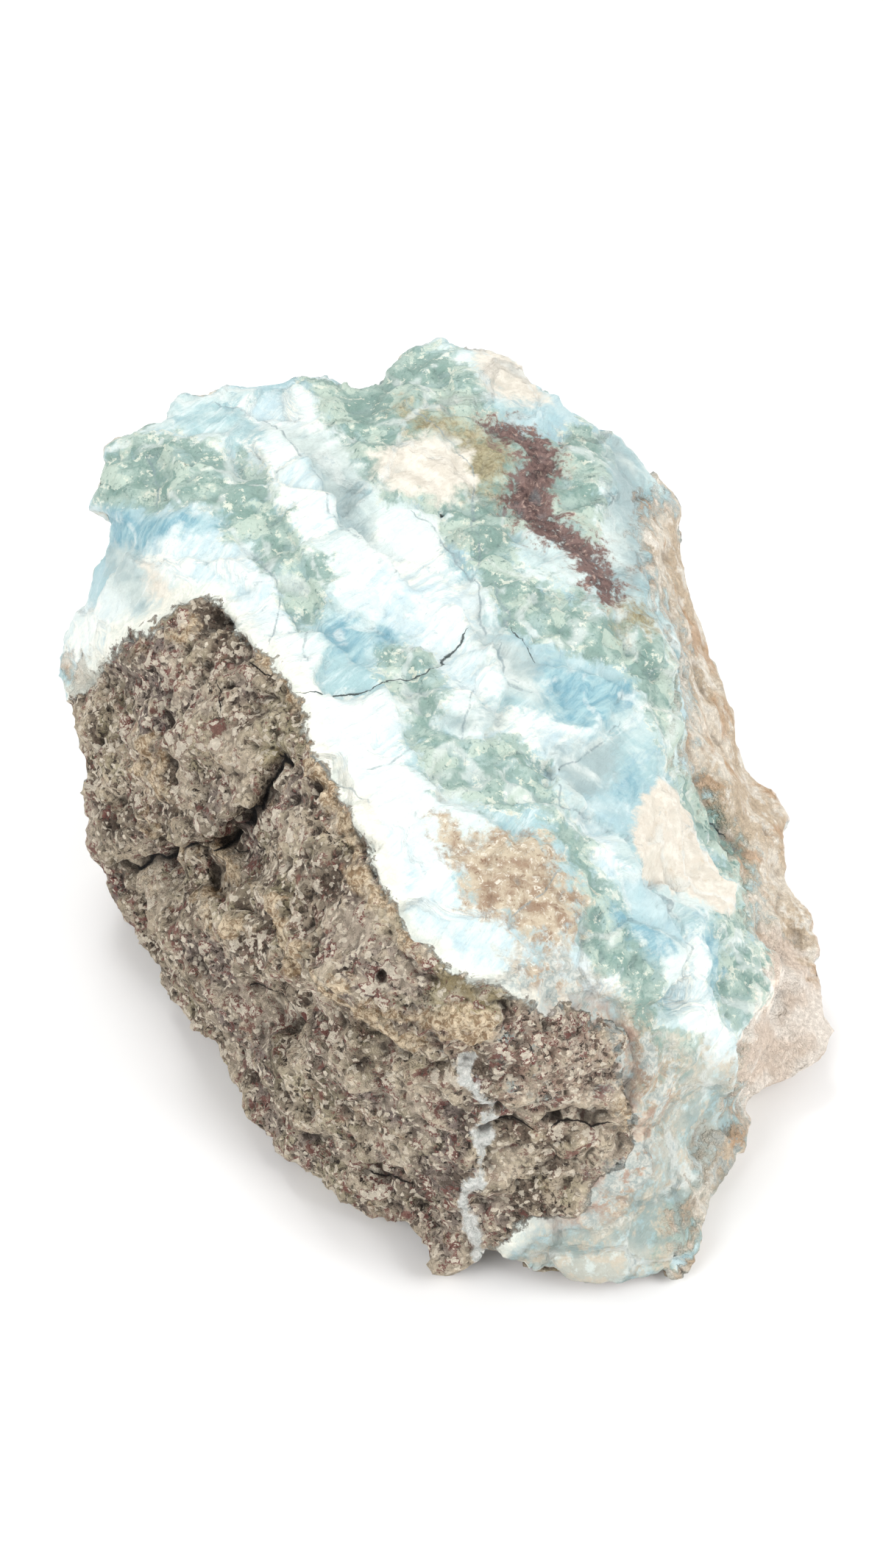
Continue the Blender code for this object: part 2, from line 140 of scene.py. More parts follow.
# The rock's lower right corner, where its border is broken up: its start as seen, and its fade, in mm
LOOSENED_FROM = (6, -20)
LOOSENED_FADE = (8, 4)

# Rock out of sight: its top in mm, how far that waves, its fall to the right, and its right end
ROCK_TOP = 20
ROCK_WAVE = 8
ROCK_FALL = 0.1
ROCK_END = 25

# Markings out of sight that a noise alone places: its height, its size in mm, a seed, how rare they are
HIDDEN_SPOTS = {
    "deep": (6, 8, 72, 2.5),
    "grey": (6, 6, 74, 2.5),
    "cream": (6, 7, 76, 3),
    "ochre": (6, 9, 78, 3.5),
    "rust": (5, 10, 80, 3.2),
    "olive": (6, 7, 82, 2),
    "warm": (6, 11, 84, 1),
    "dusty": (6, 10, 87, 1.5),
}

# Outlines of the stone's markings as seen, in mm across and up from the middle of the view
ZONES = {
    "rock": [
        [(-46, 9), (-38.5, 9), (-36.5, 10), (-35.5, 12), (-34, 13.5), (-32.5, 15.5), (-30.5, 15.5),
        (-29, 17), (-27, 18.5), (-25.5, 19.5), (-23.5, 19.5), (-23, 18), (-21.5, 16), (-19.5, 14),
        (-17.5, 13), (-17.5, 11.5), (-16, 10.5), (-15, 8.5), (-14, 7), (-14.5, 5.5), (-13.5, 4),
        (-13.5, 2.5), (-12, 1.5), (-11, 0), (-11, -1.5), (-9.5, -3), (-9, -4.5), (-7.5, -6.5), (-7, -9),
        (-6.5, -10.5), (-5, -12.5), (-4, -14), (-3.5, -16.5), (-1, -17), (0, -19), (3, -20.5), (6, -21),
        (7.5, -22.5), (11, -23.5), (14, -23.5), (17.5, -25), (19.5, -25.5), (19, -29), (20, -32),
        (19, -35.5), (20, -38), (18.5, -41), (15.5, -44), (12.5, -45.5), (7.5, -47), (5, -49),
        (3.5, -56.5), (-23, -56.5), (-44.5, -18)],
    ],
    "green": [
        [(-37.5, 34), (-31.5, 36.5), (-29.5, 36.5), (-26, 36), (-23, 35), (-19.5, 34), (-18, 31.5),
        (-17, 29), (-16, 28), (-15, 25), (-13.5, 23.5), (-11.5, 23), (-11.5, 20.5), (-12.5, 18),
        (-14, 16.5), (-15.5, 18), (-16.5, 20.5), (-18, 22), (-19.5, 24.5), (-21, 25.5), (-22.5, 26),
        (-23, 28), (-25.5, 29), (-31, 29), (-34.5, 29), (-36.5, 29.5)],
        [(-7.5, 14), (-4, 15), (-1, 13.5), (0, 10.5), (0, 6.5), (2, 5), (4, 4.5), (7.5, 5), (11, 2.5),
        (11.5, 0.5), (11.5, -2), (7.5, -2.5), (3, -2), (0, -1), (-2, 1), (-3, 3.5), (-3.5, 6.5),
        (-4.5, 8.5), (-5.5, 10.5)],
        [(-16, 45), (-5.5, 44.5), (-3, 47), (3, 43.5), (5.5, 39), (8.5, 36.5), (12.5, 36.5), (16, 39),
        (17.5, 33), (16, 25), (13, 26), (11, 28), (7.5, 26), (8.5, 22), (11, 21), (15.5, 19), (20, 17),
        (23.5, 14.5), (25, 10.5), (25.5, 5), (23.5, 1.5), (22.5, 6), (20, 10), (18.5, 12.5),
        (14.5, 13.5), (10.5, 15), (7.5, 16.5), (5, 19), (3, 23), (0.5, 25.5), (0, 28), (-3, 29),
        (-6, 29.5), (-7.5, 32), (-9.5, 33), (-11, 36.5), (-12.5, 39), (-13.5, 41)],
        [(10.5, 2.5), (12, 0.5), (13, -3.5), (15.5, -6.5), (17, -9.5), (19.5, -12.5), (20.5, -16.5),
        (22.5, -19.5), (23, -23.5), (23.5, -28), (20, -29), (19, -25.5), (18.5, -21.5), (15.5, -18),
        (13.5, -15), (15, -12), (14, -8.5), (11.5, -5), (10.5, -2)],
        [(28.5, -17.5), (31, -16.5), (34, -17), (36, -19), (35, -22), (33, -24.5), (31.5, -26.5),
        (30.5, -25.5), (29, -23.5), (28.5, -20.5)],
        [(23.5, 2), (27, 0.5), (31, -2.5), (33, -5), (34, -9), (33.5, -14), (31.5, -16.5), (29, -17),
        (27.5, -14), (31, -13.5), (31.5, -10.5), (28, -7), (26, -4.5), (24.5, -1)],
        [(19, -25.5), (23, -25.5), (26.5, -26.5), (27.5, -29.5), (25.5, -32.5), (23.5, -35),
        (22.5, -39.5), (19, -43), (19, -38), (20, -32)],
        [(23.5, -44), (27.5, -41), (31, -38), (31.5, -41), (27, -47), (23.5, -52), (21.5, -49)],
    ],
    "white": [
        [(-7, -8), (-3, -17), (3.5, -21), (8.5, -20.5), (10, -16), (6, -13), (2, -11.5), (1.5, -8)],
        [(-31, 25), (-27.5, 26.5), (-23, 27), (-21, 25), (-19, 22.5), (-16.5, 20.5), (-15.5, 17),
        (-14.5, 14.5), (-14, 11), (-12, 9), (-7.5, 9.5), (-5.5, 8.5), (-4, 6), (-4, 4), (-3.5, 1),
        (0, -3), (0, -7), (1.5, -10.5), (3, -13.5), (7.5, -14.5), (9.5, -16.5), (7.5, -19.5), (3, -19),
        (-0.5, -17), (-3.5, -15), (-4.5, -12), (-7.5, -6.5), (-9, -3), (-11, 0.5), (-13, 2), (-13.5, 5),
        (-14.5, 9), (-17.5, 13.5), (-19.5, 14.5), (-22.5, 18), (-23.5, 20), (-27, 20), (-29.5, 21),
        (-31, 23)],
        [(-38, 18), (-34.5, 20.5), (-32.5, 19), (-32, 16.5), (-34, 15), (-35.5, 13), (-38.5, 12.5),
        (-39.5, 13.5)],
        [(-21.5, 40), (-17.5, 41.5), (-14, 40.5), (-12.5, 38), (-11.5, 35.5), (-15.5, 36.5), (-19, 38)],
        [(-21, 35.5), (-15.5, 35.5), (-12, 32), (-10.5, 27), (-13, 25), (-15, 25.5), (-17.5, 29),
        (-19, 32.5)],
        [(-7.5, 28), (-3, 28), (0, 25), (3, 20.5), (5, 15.5), (7, 10.5), (5.5, 9), (1.5, 8.5),
        (-0.5, 12.5), (-3, 15.5), (-6, 17), (-9, 18), (-11.5, 20.5), (-10, 22), (-7.5, 23.5)],
        [(1, 8), (5, 8.5), (11, 7.5), (15.5, 5), (18, 5), (17, 2.5), (12.5, 1), (11, 3), (7.5, 5),
        (3, 4.5)],
        [(27, -15), (28, -19.5), (29, -24.5), (31, -29), (29.5, -32), (27.5, -29), (25.5, -26),
        (24, -23), (25, -19), (25.5, -16)],
        [(9, -19.5), (15.5, -18), (18, -20.5), (17, -23.5), (11, -23.5), (7.5, -22)],
        [(15.5, -2.5), (17.5, -5), (19, -9), (17.5, -10.5), (15.5, -6.5), (14, -4)],
    ],
    "deep": [
        [(10.5, 12.5), (15.5, 12), (19.5, 10.5), (20, 9), (18.5, 7.5), (17.5, 6), (15.5, 6), (12.5, 7),
        (11, 9.5)],
        [(-13, 16.5), (-10, 17.5), (-6, 17), (-4.5, 15.5), (-7.5, 15), (-8.5, 12.5), (-11.5, 14)],
        [(-35.5, 28.5), (-23, 28), (-27, 27), (-31, 25), (-35.5, 25)],
        [(27, -14), (29, -17), (29.5, -22), (28, -19)],
        [(17.5, -12), (19.5, -13.5), (23.5, -17), (22, -18), (18.5, -14.5)],
        [(20, 2), (22, 0.5), (21, -2), (19, -1)],
    ],
    "grey": [
        [(16.5, 39), (19, 36), (21, 29), (21.5, 22), (20, 17.5), (19, 22), (17.5, 28)],
        [(-15.5, 36.5), (-11.5, 36), (-9, 33), (-7, 29), (-7.5, 25), (-10, 27), (-11.5, 31),
        (-13.5, 33.5)],
        [(-36.5, 25), (-33, 26), (-30.5, 21), (-30, 17), (-31.5, 17.5), (-34, 21), (-35.5, 23.5)],
        [(12, 4), (19, 5), (18.5, 1), (14, -2), (12.5, 0.5)],
        [(3, 16.5), (4.5, 15), (7, 10.5), (10.5, 8), (11, 13), (7.5, 15), (5.5, 17)],
        [(-0.5, 6), (3, 5), (7, 7), (4, 8)],
    ],
    "cream": [
        [(-7.5, 34), (-4.5, 35.5), (0, 36), (3, 34.5), (3, 31), (0, 29.5), (-4.5, 30.5), (-6.5, 32)],
        [(3, 46), (7.5, 45), (11.5, 42), (11, 40), (7, 40.5), (4, 42)],
        [(-31, 23), (-29, 22), (-27.5, 19.5), (-29, 18), (-30.5, 20.5)],
        [(-9, -1), (-7.5, -2), (-6, -6.5), (-4.5, -10.5), (-6, -10.5), (-7.5, -6.5)],
    ],
    "slab": [
        [(22.5, 0.5), (24, -0.5), (25.5, -3), (26.5, -6), (28, -8), (30, -10.5), (31, -13), (29.5, -14),
        (27.5, -13), (25, -11.5), (22.5, -10.5), (20.5, -8), (20, -5), (21, -2)],
    ],
    "ochre": [
        [(-4.5, 39), (0, 38), (3, 37.5), (7, 36), (7, 33), (5.5, 30.5), (3, 30.5), (1.5, 34.5),
        (-3, 36.5)],
        [(18, 19), (21.5, 18.5), (22, 16), (19, 16)],
    ],
    "olive": [
        [(0, -18), (4, -20), (7.5, -21.5), (5, -25), (1.5, -25.5), (-1, -23.5), (-1.5, -20.5)],
        [(-7.5, -10.5), (-5.5, -11.5), (-4, -14), (-4.5, -16.5), (-7, -14.5)],
        [(-20, 4.5), (-16.5, 4.5), (-16.5, 2), (-19.5, 1.5)],
    ],
    "warm": [
        [(4, -25.5), (7.5, -23.5), (14.5, -24), (19, -25.5), (22, -29), (21, -32.5), (15.5, -35),
        (11, -35.5), (6, -34.5), (5, -30.5)],
        [(-3, -24), (3, -25.5), (4, -29), (0, -29), (-4.5, -27)],
    ],
    "stain": [
        [(15.5, -22.5), (21, -24.5), (24.5, -29), (26, -32), (24, -35.5), (22.5, -41), (19, -45.5),
        (14, -47), (15.5, -44), (19, -38), (19, -29)],
        [(7, -18), (12.5, -17), (15.5, -20.5), (17.5, -22.5), (12.5, -23.5), (7.5, -22)],
        [(28.5, -36.5), (31.5, -37), (31, -43), (28.5, -45), (29, -41)],
    ],
    "rust": [
        [(4.5, 38), (7.5, 38), (10.5, 37), (12, 35), (12.5, 33), (11.5, 31), (11.5, 29), (12, 27.5),
        (14, 26.5), (16, 25), (16.5, 23.5), (17.5, 22), (19, 20.5), (19, 19.5), (17, 19), (15, 20.5),
        (14, 22.5), (13, 24), (11.5, 25), (9.5, 26), (8, 27.5), (7, 29.5), (7, 31.5), (8.5, 33.5),
        (8, 35), (6, 36), (5, 36.5)],
    ],
    "brown": [
        [(-0.5, -3.5), (3, -5.5), (7.5, -5), (11, -5.5), (12.5, -9), (15, -12), (14, -15), (12, -17.5),
        (9, -16), (7.5, -14.5), (4, -13.5), (2.5, -12), (1.5, -9), (0, -6.5)],
    ],
    "dusty": [
        [(20, -28.5), (25, -27), (31, -29), (31.5, -35), (28, -45.5), (23, -52), (17, -53), (7.5, -52),
        (4, -49.5), (7.5, -48), (15.5, -45), (19, -41), (20.5, -35.5)],
    ],
    "tan": [
        [(28.5, -36.5), (32, -36), (31.5, -40), (28, -44.5), (25.5, -48), (25, -45.5), (27.5, -41.5)],
        [(20.5, 29), (25, 28), (27.5, 20.5), (31, 13), (33, 5), (31, 5), (27.5, 8), (25.5, 13),
        (23.5, 18), (21.5, 23.5)],
        [(-39.5, 13), (-36, 12), (-33.5, 10), (-34.5, 7), (-37.5, 8)],
        [(25, 25.5), (26, 20.5), (25, 18), (25.5, 15), (26, 10.5), (26, 5), (25, 3), (27.5, 0.5),
        (29.5, -3.5), (32, -7), (33, -10.5), (34, -15), (35.5, -18), (35.5, -22), (33.5, -25.5),
        (32, -29), (31.5, -33.5), (31.5, -35), (46, -35), (46, -2.5), (32.5, 16.5), (27.5, 25.5)],
        [(32.5, -36.5), (31, -42), (28, -46.5), (27, -45), (29.5, -41), (31, -37.5)],
    ],
    "pink": [
        [(32.5, -26.5), (34.5, -19), (34.5, -15), (37, -16.5), (40, -20.5), (46, -24), (40, -35),
        (31.5, -35), (32, -29.5)],
    ],
}

# The pale vein through the rock, as seen in mm, half its width, and how much such lines wander
VEIN = [
    (3, -28.5), (2.5, -30.5), (3.5, -32), (5, -34), (5, -36), (4.5, -38), (4, -40), (3.5, -41.5),
    (2.5, -43), (2.5, -44.5), (3.5, -46.5), (4, -49),
]
VEIN_HALF = 0.6
LINE_WANDER = 0.6

# Black cracks in the rock, finer dark splits, and grey seams in the blue face, as seen in mm
BLACK_CRACKS = [
    [(-16, 2), (-16.5, 2.5), (-17.5, 1), (-18.5, -1.5), (-19, -2.5), (-20.5, -4), (-21.5, -5.5)],
    [(-21.5, -5), (-23, -6.5), (-26, -7), (-27.5, -7), (-29.5, -8), (-32.5, -8.5), (-33.5, -8.5)],
]
SPLITS = [
    [(-14.5, 9), (-12.5, 9), (-7.5, 10), (-5.5, 11), (-2, 11.5), (0, 13), (2.5, 16)],
    [(8, 16), (9, 14.5), (10, 13.5)],
    [(29, -4), (30.5, -5)],
    [(-21, -6.5), (-20.5, -7), (-19.5, -7)],
    [(-21, -21.5), (-19, -21.5), (-18, -22), (-16, -23), (-15.5, -24.5), (-15, -25.5)],
    [(6, -35.5), (7.5, -35.5), (9.5, -36)],
    [(12, -36), (14, -35.5), (15.5, -35.5), (17.5, -35.5)],
    [(-7.5, -40.5), (-5.5, -41), (-3, -42)],
    [(-20, 12.5), (-19, 11.5), (-18, 11.5)],
    [(-23.5, 10.5), (-23, 9), (-23, 8)],
]
SEAMS = [
    [(7, 17.5), (8, 16), (10, 14)],
    [(-7.5, 1.5), (-5.5, 2), (-3.5, 3.5)],
    [(3, 9.5), (3, 8), (2, 5)],
    [(27, -1), (28, -2.5), (29, -4), (31.5, -6)],
    [(21, -9.5), (23.5, -12), (25, -15), (26, -17), (25, -19.5), (23, -22)],
    [(11, 2), (12, 0), (12.5, -2), (15.5, -3)],
    [(4, 26), (3.5, 21)],
    [(-30.5, 29), (-30, 32), (-30.5, 34.5)],
    [(-18, 15), (-17.5, 17.5), (-17, 20.5)],
    [(-23, 40), (-19, 39), (-16.5, 36.5), (-13, 33), (-11.5, 28), (-9, 25)],
    [(-19.5, 24.5), (-17, 20.5), (-14.5, 16.5), (-14, 13)],
    [(-3, 39), (3, 33), (3.5, 26)],
    [(6, 14.5), (7, 10.5), (9, 9.5)],
    [(12.5, 2), (17, 4.5), (18.5, 6)],
    [(-13, 2.5), (-10, -0.5), (-7.5, -2.5)],
    [(8, 15.5), (7, 18), (5.5, 20.5)],
    [(-3, 28), (1, 24.5), (4, 20.5), (4.5, 16.5)],
    [(7.5, -13.5), (10.5, -11.5), (12.5, -9)],
]

# Name, lines, depth and half width in mm of each kind of crack
CRACKS = [
    ("black", BLACK_CRACKS, 1.0, 0.4),
    ("split", SPLITS, 0.35, 0.35),
    ("seam", SEAMS, 0.25, 0.35),
]

# Pale crusts along the rock's ledges and border, as seen in mm, and half their width
CRUSTS = [
    [(-24, -6.5), (-21, -9), (-18.5, -11.5), (-17, -14), (-16, -17), (-14.5, -19), (-11, -21.5),
    (-8, -24)],
    [(-25, -10.5), (-23.5, -13.5), (-22.5, -15)],
    [(-31.5, 4), (-30.5, 1.5), (-29.5, -0.5), (-30.5, -2.5), (-29, -4.5), (-27, -7)],
    [(-16, 11), (-14, 7), (-13.5, 3), (-11.5, -0.5), (-9.5, -4.5), (-8, -10), (-5.5, -12.5),
    (-3.5, -16.5)],
    [(-12.5, -21.5), (-9, -23), (-5.5, -26), (-1, -27.5), (3, -27), (4.5, -25)],
    [(-29, 16), (-27, 15), (-26, 16.5)],
    [(-18.5, 12.5), (-17, 12)],
    [(-9.5, -22.5), (-6, -24), (-2, -25), (2, -24.5)],
    [(20, -30.5), (19, -34), (21, -37.5), (19, -41), (15.5, -45)],
]
CRUST_HALF = 0.7

# Grooves with no colour of their own: a line as seen, its depth and half width in mm
GROOVES = [
    ([(27.5, 0.5), (29.5, -3.5), (32, -7), (33, -10.5), (34, -15), (35.5, -18), (35.5, -22),
    (33.5, -25.5), (32, -29), (31.5, -33.5)], 1.3, 1.0),
    ([(8, 33), (6.5, 30), (7.5, 26.5), (11, 24)], 0.7, 0.6),
    ([(-28, -9), (-24.5, -10), (-22, -12)], 1.5, 1.8),
    ([(-11, 31), (-9, 27), (-6, 24)], 0.5, 0.8),
    ([(-20.5, -22), (-17.5, -23), (-16, -25)], 1.3, 1.3),
    ([(-25, -8.5), (-22.5, -11), (-20, -13.5), (-18.5, -16)], 0.8, 1.2),
    ([(-13.5, -23), (-9.5, -24.8), (-6, -27.8), (-1, -29.3), (2.5, -28.8)], 1.0, 1.2),
]

# Steps and ledges in the seen face: a line as seen, the rise on its left side, how far it reaches, in mm
STEPS = [
    ([(-16, 36), (-12.5, 33), (-10.5, 27.5), (-8, 24.5), (-5, 22)], -0.9, 4),
    ([(3, 17), (5, 15), (7, 10), (5, 6)], -0.8, 3),
    ([(-21, 25), (-17, 20.5), (-14.5, 16.5), (-12, 15), (-6, 11), (-4, 5), (0, -2), (11.5, -2)], -0.5, 3),
    ([(-19, 34), (-17.5, 29.5), (-15, 25), (-13, 19.5), (-5.5, 16), (0, 7), (7, 5), (11, 2.5)], 0.5, 3),
    ([(-12.5, 39), (-7.5, 33), (-5.5, 29), (0, 29), (2, 25), (4, 19)], 0.5, 3),
    ([(-23, 18), (-19.5, 14), (-16, 11), (-14, 6), (-13, 1), (-9, -4), (-6, -11), (-4, -16.5)], 0.6, 2),
    ([(21, -9.5), (24, -13.5), (25.5, -17), (24, -20.5), (23, -22)], -0.9, 3),
    ([(27, -15), (28.5, -20.5), (29.5, -25), (31, -29)], -0.7, 3),
    ([(11.5, 2), (12, -1), (15.5, -2.5), (19, -5)], 0.7, 3),
    ([(11, 12.5), (15, 12), (19, 10), (17, 6.5)], -0.6, 3),
    ([(5, 35), (8, 33), (7, 29.5), (10, 26), (15, 23.5), (19.5, 19.5)], -0.7, 2),
]


def soft(value):
    """Smooth ramp from 0 to 1."""
    value = np.clip(value, 0, 1)
    return value * value * (3 - 2 * value)


def seen(points):
    """Across and up, in mm, at which points of the stone appear in the photograph."""
    local = points + PLAN_SHIFT - np.array([0.0, 0.0, SIGHT_HEIGHT])
    spread = EYE_DISTANCE / (EYE_DISTANCE - local @ SIGHT)
    return np.stack([local[:, 0] * spread, (local @ SEEN_UP) * spread], axis=1) / MM


def line_distance(flat, line):
    """Distance to a polyline and the side of it: positive on its left."""
    best = np.full(len(flat), 1e9)
    side = np.zeros(len(flat))
    for start, end in zip(np.array(line[:-1], float), np.array(line[1:], float)):
        along = end - start
        offset = flat - start
        share = np.clip(offset @ along / (along @ along), 0, 1)
        away = np.linalg.norm(offset - share[:, None] * along, axis=1)
        closer = away < best
        best[closer] = away[closer]
        cross = along[0] * offset[:, 1] - along[1] * offset[:, 0]
        side[closer] = np.sign(cross[closer])
    return best, side


def lines_distance(flat, lines):
    """Distance to the nearest of several polylines, and the side of that one."""
    near = np.full(len(flat), 1e9)
    side = np.zeros(len(flat))
    for line in lines:
        away, left = line_distance(flat, line)
        side = np.where(away < near, left, side)
        near = np.minimum(near, away)
    return near, side


def inside(flat, outline):
    """Which seen points lie inside an outline."""
    found = np.zeros(len(flat), bool)
    x, y = flat[:, 0], flat[:, 1]
    for (x0, y0), (x1, y1) in zip(outline, outline[1:] + outline[:1]):
        if y0 == y1:
            continue
        crosses = (y0 > y) != (y1 > y)
        found ^= crosses & (x < (x1 - x0) * (y - y0) / (y1 - y0) + x0)
    return found


def zone_depth(flat, outlines):
    """How deep inside any of the outlines a seen point lies, in mm, negative outside."""
    deepest = np.full(len(flat), -ZONE_REACH)
    for outline in outlines:
        away = line_distance(flat, outline + outline[:1])[0]
        depth = np.where(inside(flat, outline), away, -away)
        deepest = np.maximum(deepest, depth)
    return np.clip(deepest, -ZONE_REACH, ZONE_REACH)


def smooth_noise(points, size, seed):
    """Seeded smooth noise about zero with this wavelength in mm."""
    chance = np.random.RandomState(seed)
    slopes = chance.normal(size=(CELLS, CELLS, CELLS, 3))
    slopes /= np.linalg.norm(slopes, axis=3, keepdims=True)
    spots = points / (size * MM) + LATTICE_SHIFT
    corner = np.floor(spots).astype(int)
    part = spots - corner
    fade = part * part * part * (part * (part * 6 - 15) + 10)
    total = np.zeros(len(points))
    for step in np.ndindex(2, 2, 2):
        step = np.array(step)
        slope = slopes[tuple(((corner + step) % CELLS).T)]
        weight = np.prod(np.where(step, fade, 1 - fade), axis=1)
        total += weight * np.sum(slope * (part - step), axis=1)
    return total * 1.5


def layered_noise(points, size, seed, layers):
    """Smooth noise with finer and weaker layers added."""
    total = np.zeros(len(points))
    for layer in range(layers):
        total += smooth_noise(points, size / 2**layer, seed + layer) / 2**layer
    return total


def broken_cells(points, size, seed):
    """Seeded cells of this width in mm: distance to the nearest middle and how much further the next
    one is, both in widths, then a tilted plane and a chance value that change over at the borders."""
    chance = np.random.RandomState(seed)
    jitter = chance.uniform(0, 1, (CELLS, CELLS, CELLS, 3))
    tilts = chance.uniform(-1, 1, (CELLS, CELLS, CELLS, 3))
    picks = chance.uniform(0, 1, (CELLS, CELLS, CELLS))
    spots = points / (size * MM) + LATTICE_SHIFT
    corner = np.floor(spots).astype(int)
    first = np.stack([np.full(len(points), 1e9), np.zeros(len(points)), np.zeros(len(points))])
    second = first.copy()
    for step in np.ndindex(3, 3, 3):
        cell = corner + np.array(step) - 1
        wrapped = tuple((cell % CELLS).T)
        offset = spots - (cell + jitter[wrapped])
        plane = np.sum(tilts[wrapped] * offset, axis=1)
        found = np.stack([np.linalg.norm(offset, axis=1), plane, picks[wrapped]])
        closer = found[0] < first[0]
        second = np.where(closer, first, np.where(found[0] < second[0], found, second))
        first = np.where(closer, found, first)
    gap = second[0] - first[0]
    share = 0.5 + 0.5 * soft(gap / BORDER_WIDTH)
    plane, pick = share * first[1:] + (1 - share) * second[1:]
    return first[0], gap, plane, pick


def warp(points, size, seed):
    """Shifts that bend straight borders, in metres."""
    parts = [smooth_noise(points, size, seed + 200 + axis) for axis in range(3)]
    return np.stack(parts, axis=1) * size * 0.35 * MM


def take_result(obj):
    """Keep what the modifiers make and drop the modifiers."""
    graph = bpy.context.evaluated_depsgraph_get()
    graph.update()
    result = bpy.data.meshes.new_from_object(obj.evaluated_get(graph))
    obj.modifiers.clear()
    obj.data = result


def vertex_values(mesh, name):
    """Places or normals of a mesh's points, one row each."""
    values = np.empty(len(mesh.vertices) * 3)
    mesh.vertices.foreach_get(name, values)
    return values.reshape(-1, 3)


def stored(mesh, name, values):
    """Keep one number for each point of the skin, for the material to read."""
    layer = mesh.attributes.new(name, "FLOAT", "POINT")
    layer.data.foreach_set("value", np.asarray(values, np.float32))


def relaxed(skin, rounds):
    """Points and normals of a much smoother copy of the skin."""
    smooth = bpy.data.objects.new("relaxed", skin.data.copy())
    bpy.context.scene.collection.objects.link(smooth)
    relax = smooth.modifiers.new("relax", "SMOOTH")
    relax.factor = 0.8
    relax.iterations = rounds
    take_result(smooth)
    found = vertex_values(smooth.data, "co"), vertex_values(smooth.data, "normal")
    bpy.data.objects.remove(smooth)
    return found


def hollows(skin):
    """How sunk each point lies below its surroundings, in mm, positive in hollows."""
    around, normals = relaxed(skin, HOLLOW_ROUNDS)
    return np.sum((around - vertex_values(skin.data, "co")) * normals, axis=1) / MM


def coarse_skin():
    """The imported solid's shape in even small faces, with few of them under its flat foot."""
    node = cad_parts["larimar_stone"]
    skin = bpy.data.objects.new("larimar_skin", node.data.copy())
    skin.matrix_world = node.matrix_world
    bpy.context.scene.collection.objects.link(skin)
    skin.data.materials.clear()
    grid = skin.modifiers.new("grid", "REMESH")
    grid.mode = "VOXEL"
    grid.voxel_size = SKIN_GRID
    relax = skin.modifiers.new("relax", "SMOOTH")
    relax.factor = 0.5
    relax.iterations = RELAX_ROUNDS
    take_result(skin)
    points = vertex_values(skin.data, "co")
    foot = np.flatnonzero(points[:, 2] < FOOT_BAND)
    group = skin.vertex_groups.new(name="foot")
    group.add(foot.tolist(), 1.0, "REPLACE")
    thin = skin.modifiers.new("thin", "DECIMATE")
    thin.vertex_group = "foot"
    thin.ratio = 1 - FOOT_THINNING * len(foot) / len(points)
    take_result(skin)
    return skin


def hidden_zones(points):
    """The markings' depths on the sides that the photograph doesn't show."""
    high = points[:, 2] / MM
    across = points[:, 0] / MM
    broad = layered_noise(points, 16, 60, 3)
    patch = layered_noise(points, 9, 64, 3)
    blotch = layered_noise(points, 7, 68, 3)
    layer = high - ROCK_TOP - ROCK_WAVE * broad - ROCK_FALL * across
    zones = {
        "rock": np.minimum(-layer, ROCK_END - across - 6 * patch),
        "green": 7 * patch - 0.5,
        "white": 7 * blotch - 0.8,
        "stain": 3 - np.abs(layer),
        "tan": np.minimum(across - 22 + 10 * patch, 34 - high),
        "pink": np.minimum(across - 30 + 8 * blotch, 14 - high),
        "slab": np.full(len(points), -ZONE_REACH),
        "brown": np.full(len(points), -ZONE_REACH),
    }
    for name, (height, size, seed, rare) in HIDDEN_SPOTS.items():
        zones[name] = height * smooth_noise(points, size, seed) - rare
    return zones


def marking_zones(points, flat, tilt, facing):
    """How deep each point lies in each marking, in mm, and the broad changes of tone."""
    zones = {}
    unseen = hidden_zones(points)
    for name, outlines in ZONES.items():
        depth = zone_depth(flat, outlines)
        if name == "rock":
            near = soft((tilt - ROCK_FROM) / TILT_FADE) * (depth > 0)
            unseen[name] = near * depth + (1 - near) * unseen[name]
        zones[name] = facing * depth + (1 - facing) * unseen[name]
    rightward = soft((flat[:, 0] - LOOSENED_FROM[0]) / LOOSENED_FADE[0])
    downward = soft((LOOSENED_FROM[1] - flat[:, 1]) / LOOSENED_FADE[1])
    loosened = rightward * downward * facing
    zones["rock"] += loosened * (3.0 * layered_noise(points, 4.5, 97, 3) - 0.3)
    zones["loosened"] = loosened
    zones["drift"] = layered_noise(points, 12, 90, 3)
    zones["mottle"] = layered_noise(points, 4.5, 94, 4)
    zones["shade"] = layered_noise(points, 6.5, 98, 3)
    return zones


def line_zones(points, flat, facing, front):
    """The vein and crusts as depths inside them, the cracks and seams as distances, in mm."""
    zones = {}
    bent = flat + LINE_WANDER * np.stack([smooth_noise(points, 3, 10), smooth_noise(points, 3, 11)], axis=1)
    vein = VEIN_HALF * (1 + 1.1 * smooth_noise(points, 2.5, 12)) - line_distance(bent, VEIN)[0]
    hidden_vein = 0.35 - 24 * np.abs(smooth_noise(points, 27, 86)) + 1.5 * smooth_noise(points, 6, 88)
    zones["vein"] = np.clip(np.where(facing > 0.3, vein, hidden_vein), -ZONE_REACH, 1)
    crust = CRUST_HALF - lines_distance(bent, CRUSTS)[0]
    zones["crust"] = np.clip(crust - 4 * (1 - front), -ZONE_REACH, 1)
    for name, lines, _, _ in CRACKS:
        away, side = lines_distance(bent, lines)
        away = np.where(front > 0.3, np.minimum(away, LINE_REACH), LINE_REACH)
        zones[name] = away
        zones[name + "_side"] = away * side
    return zones


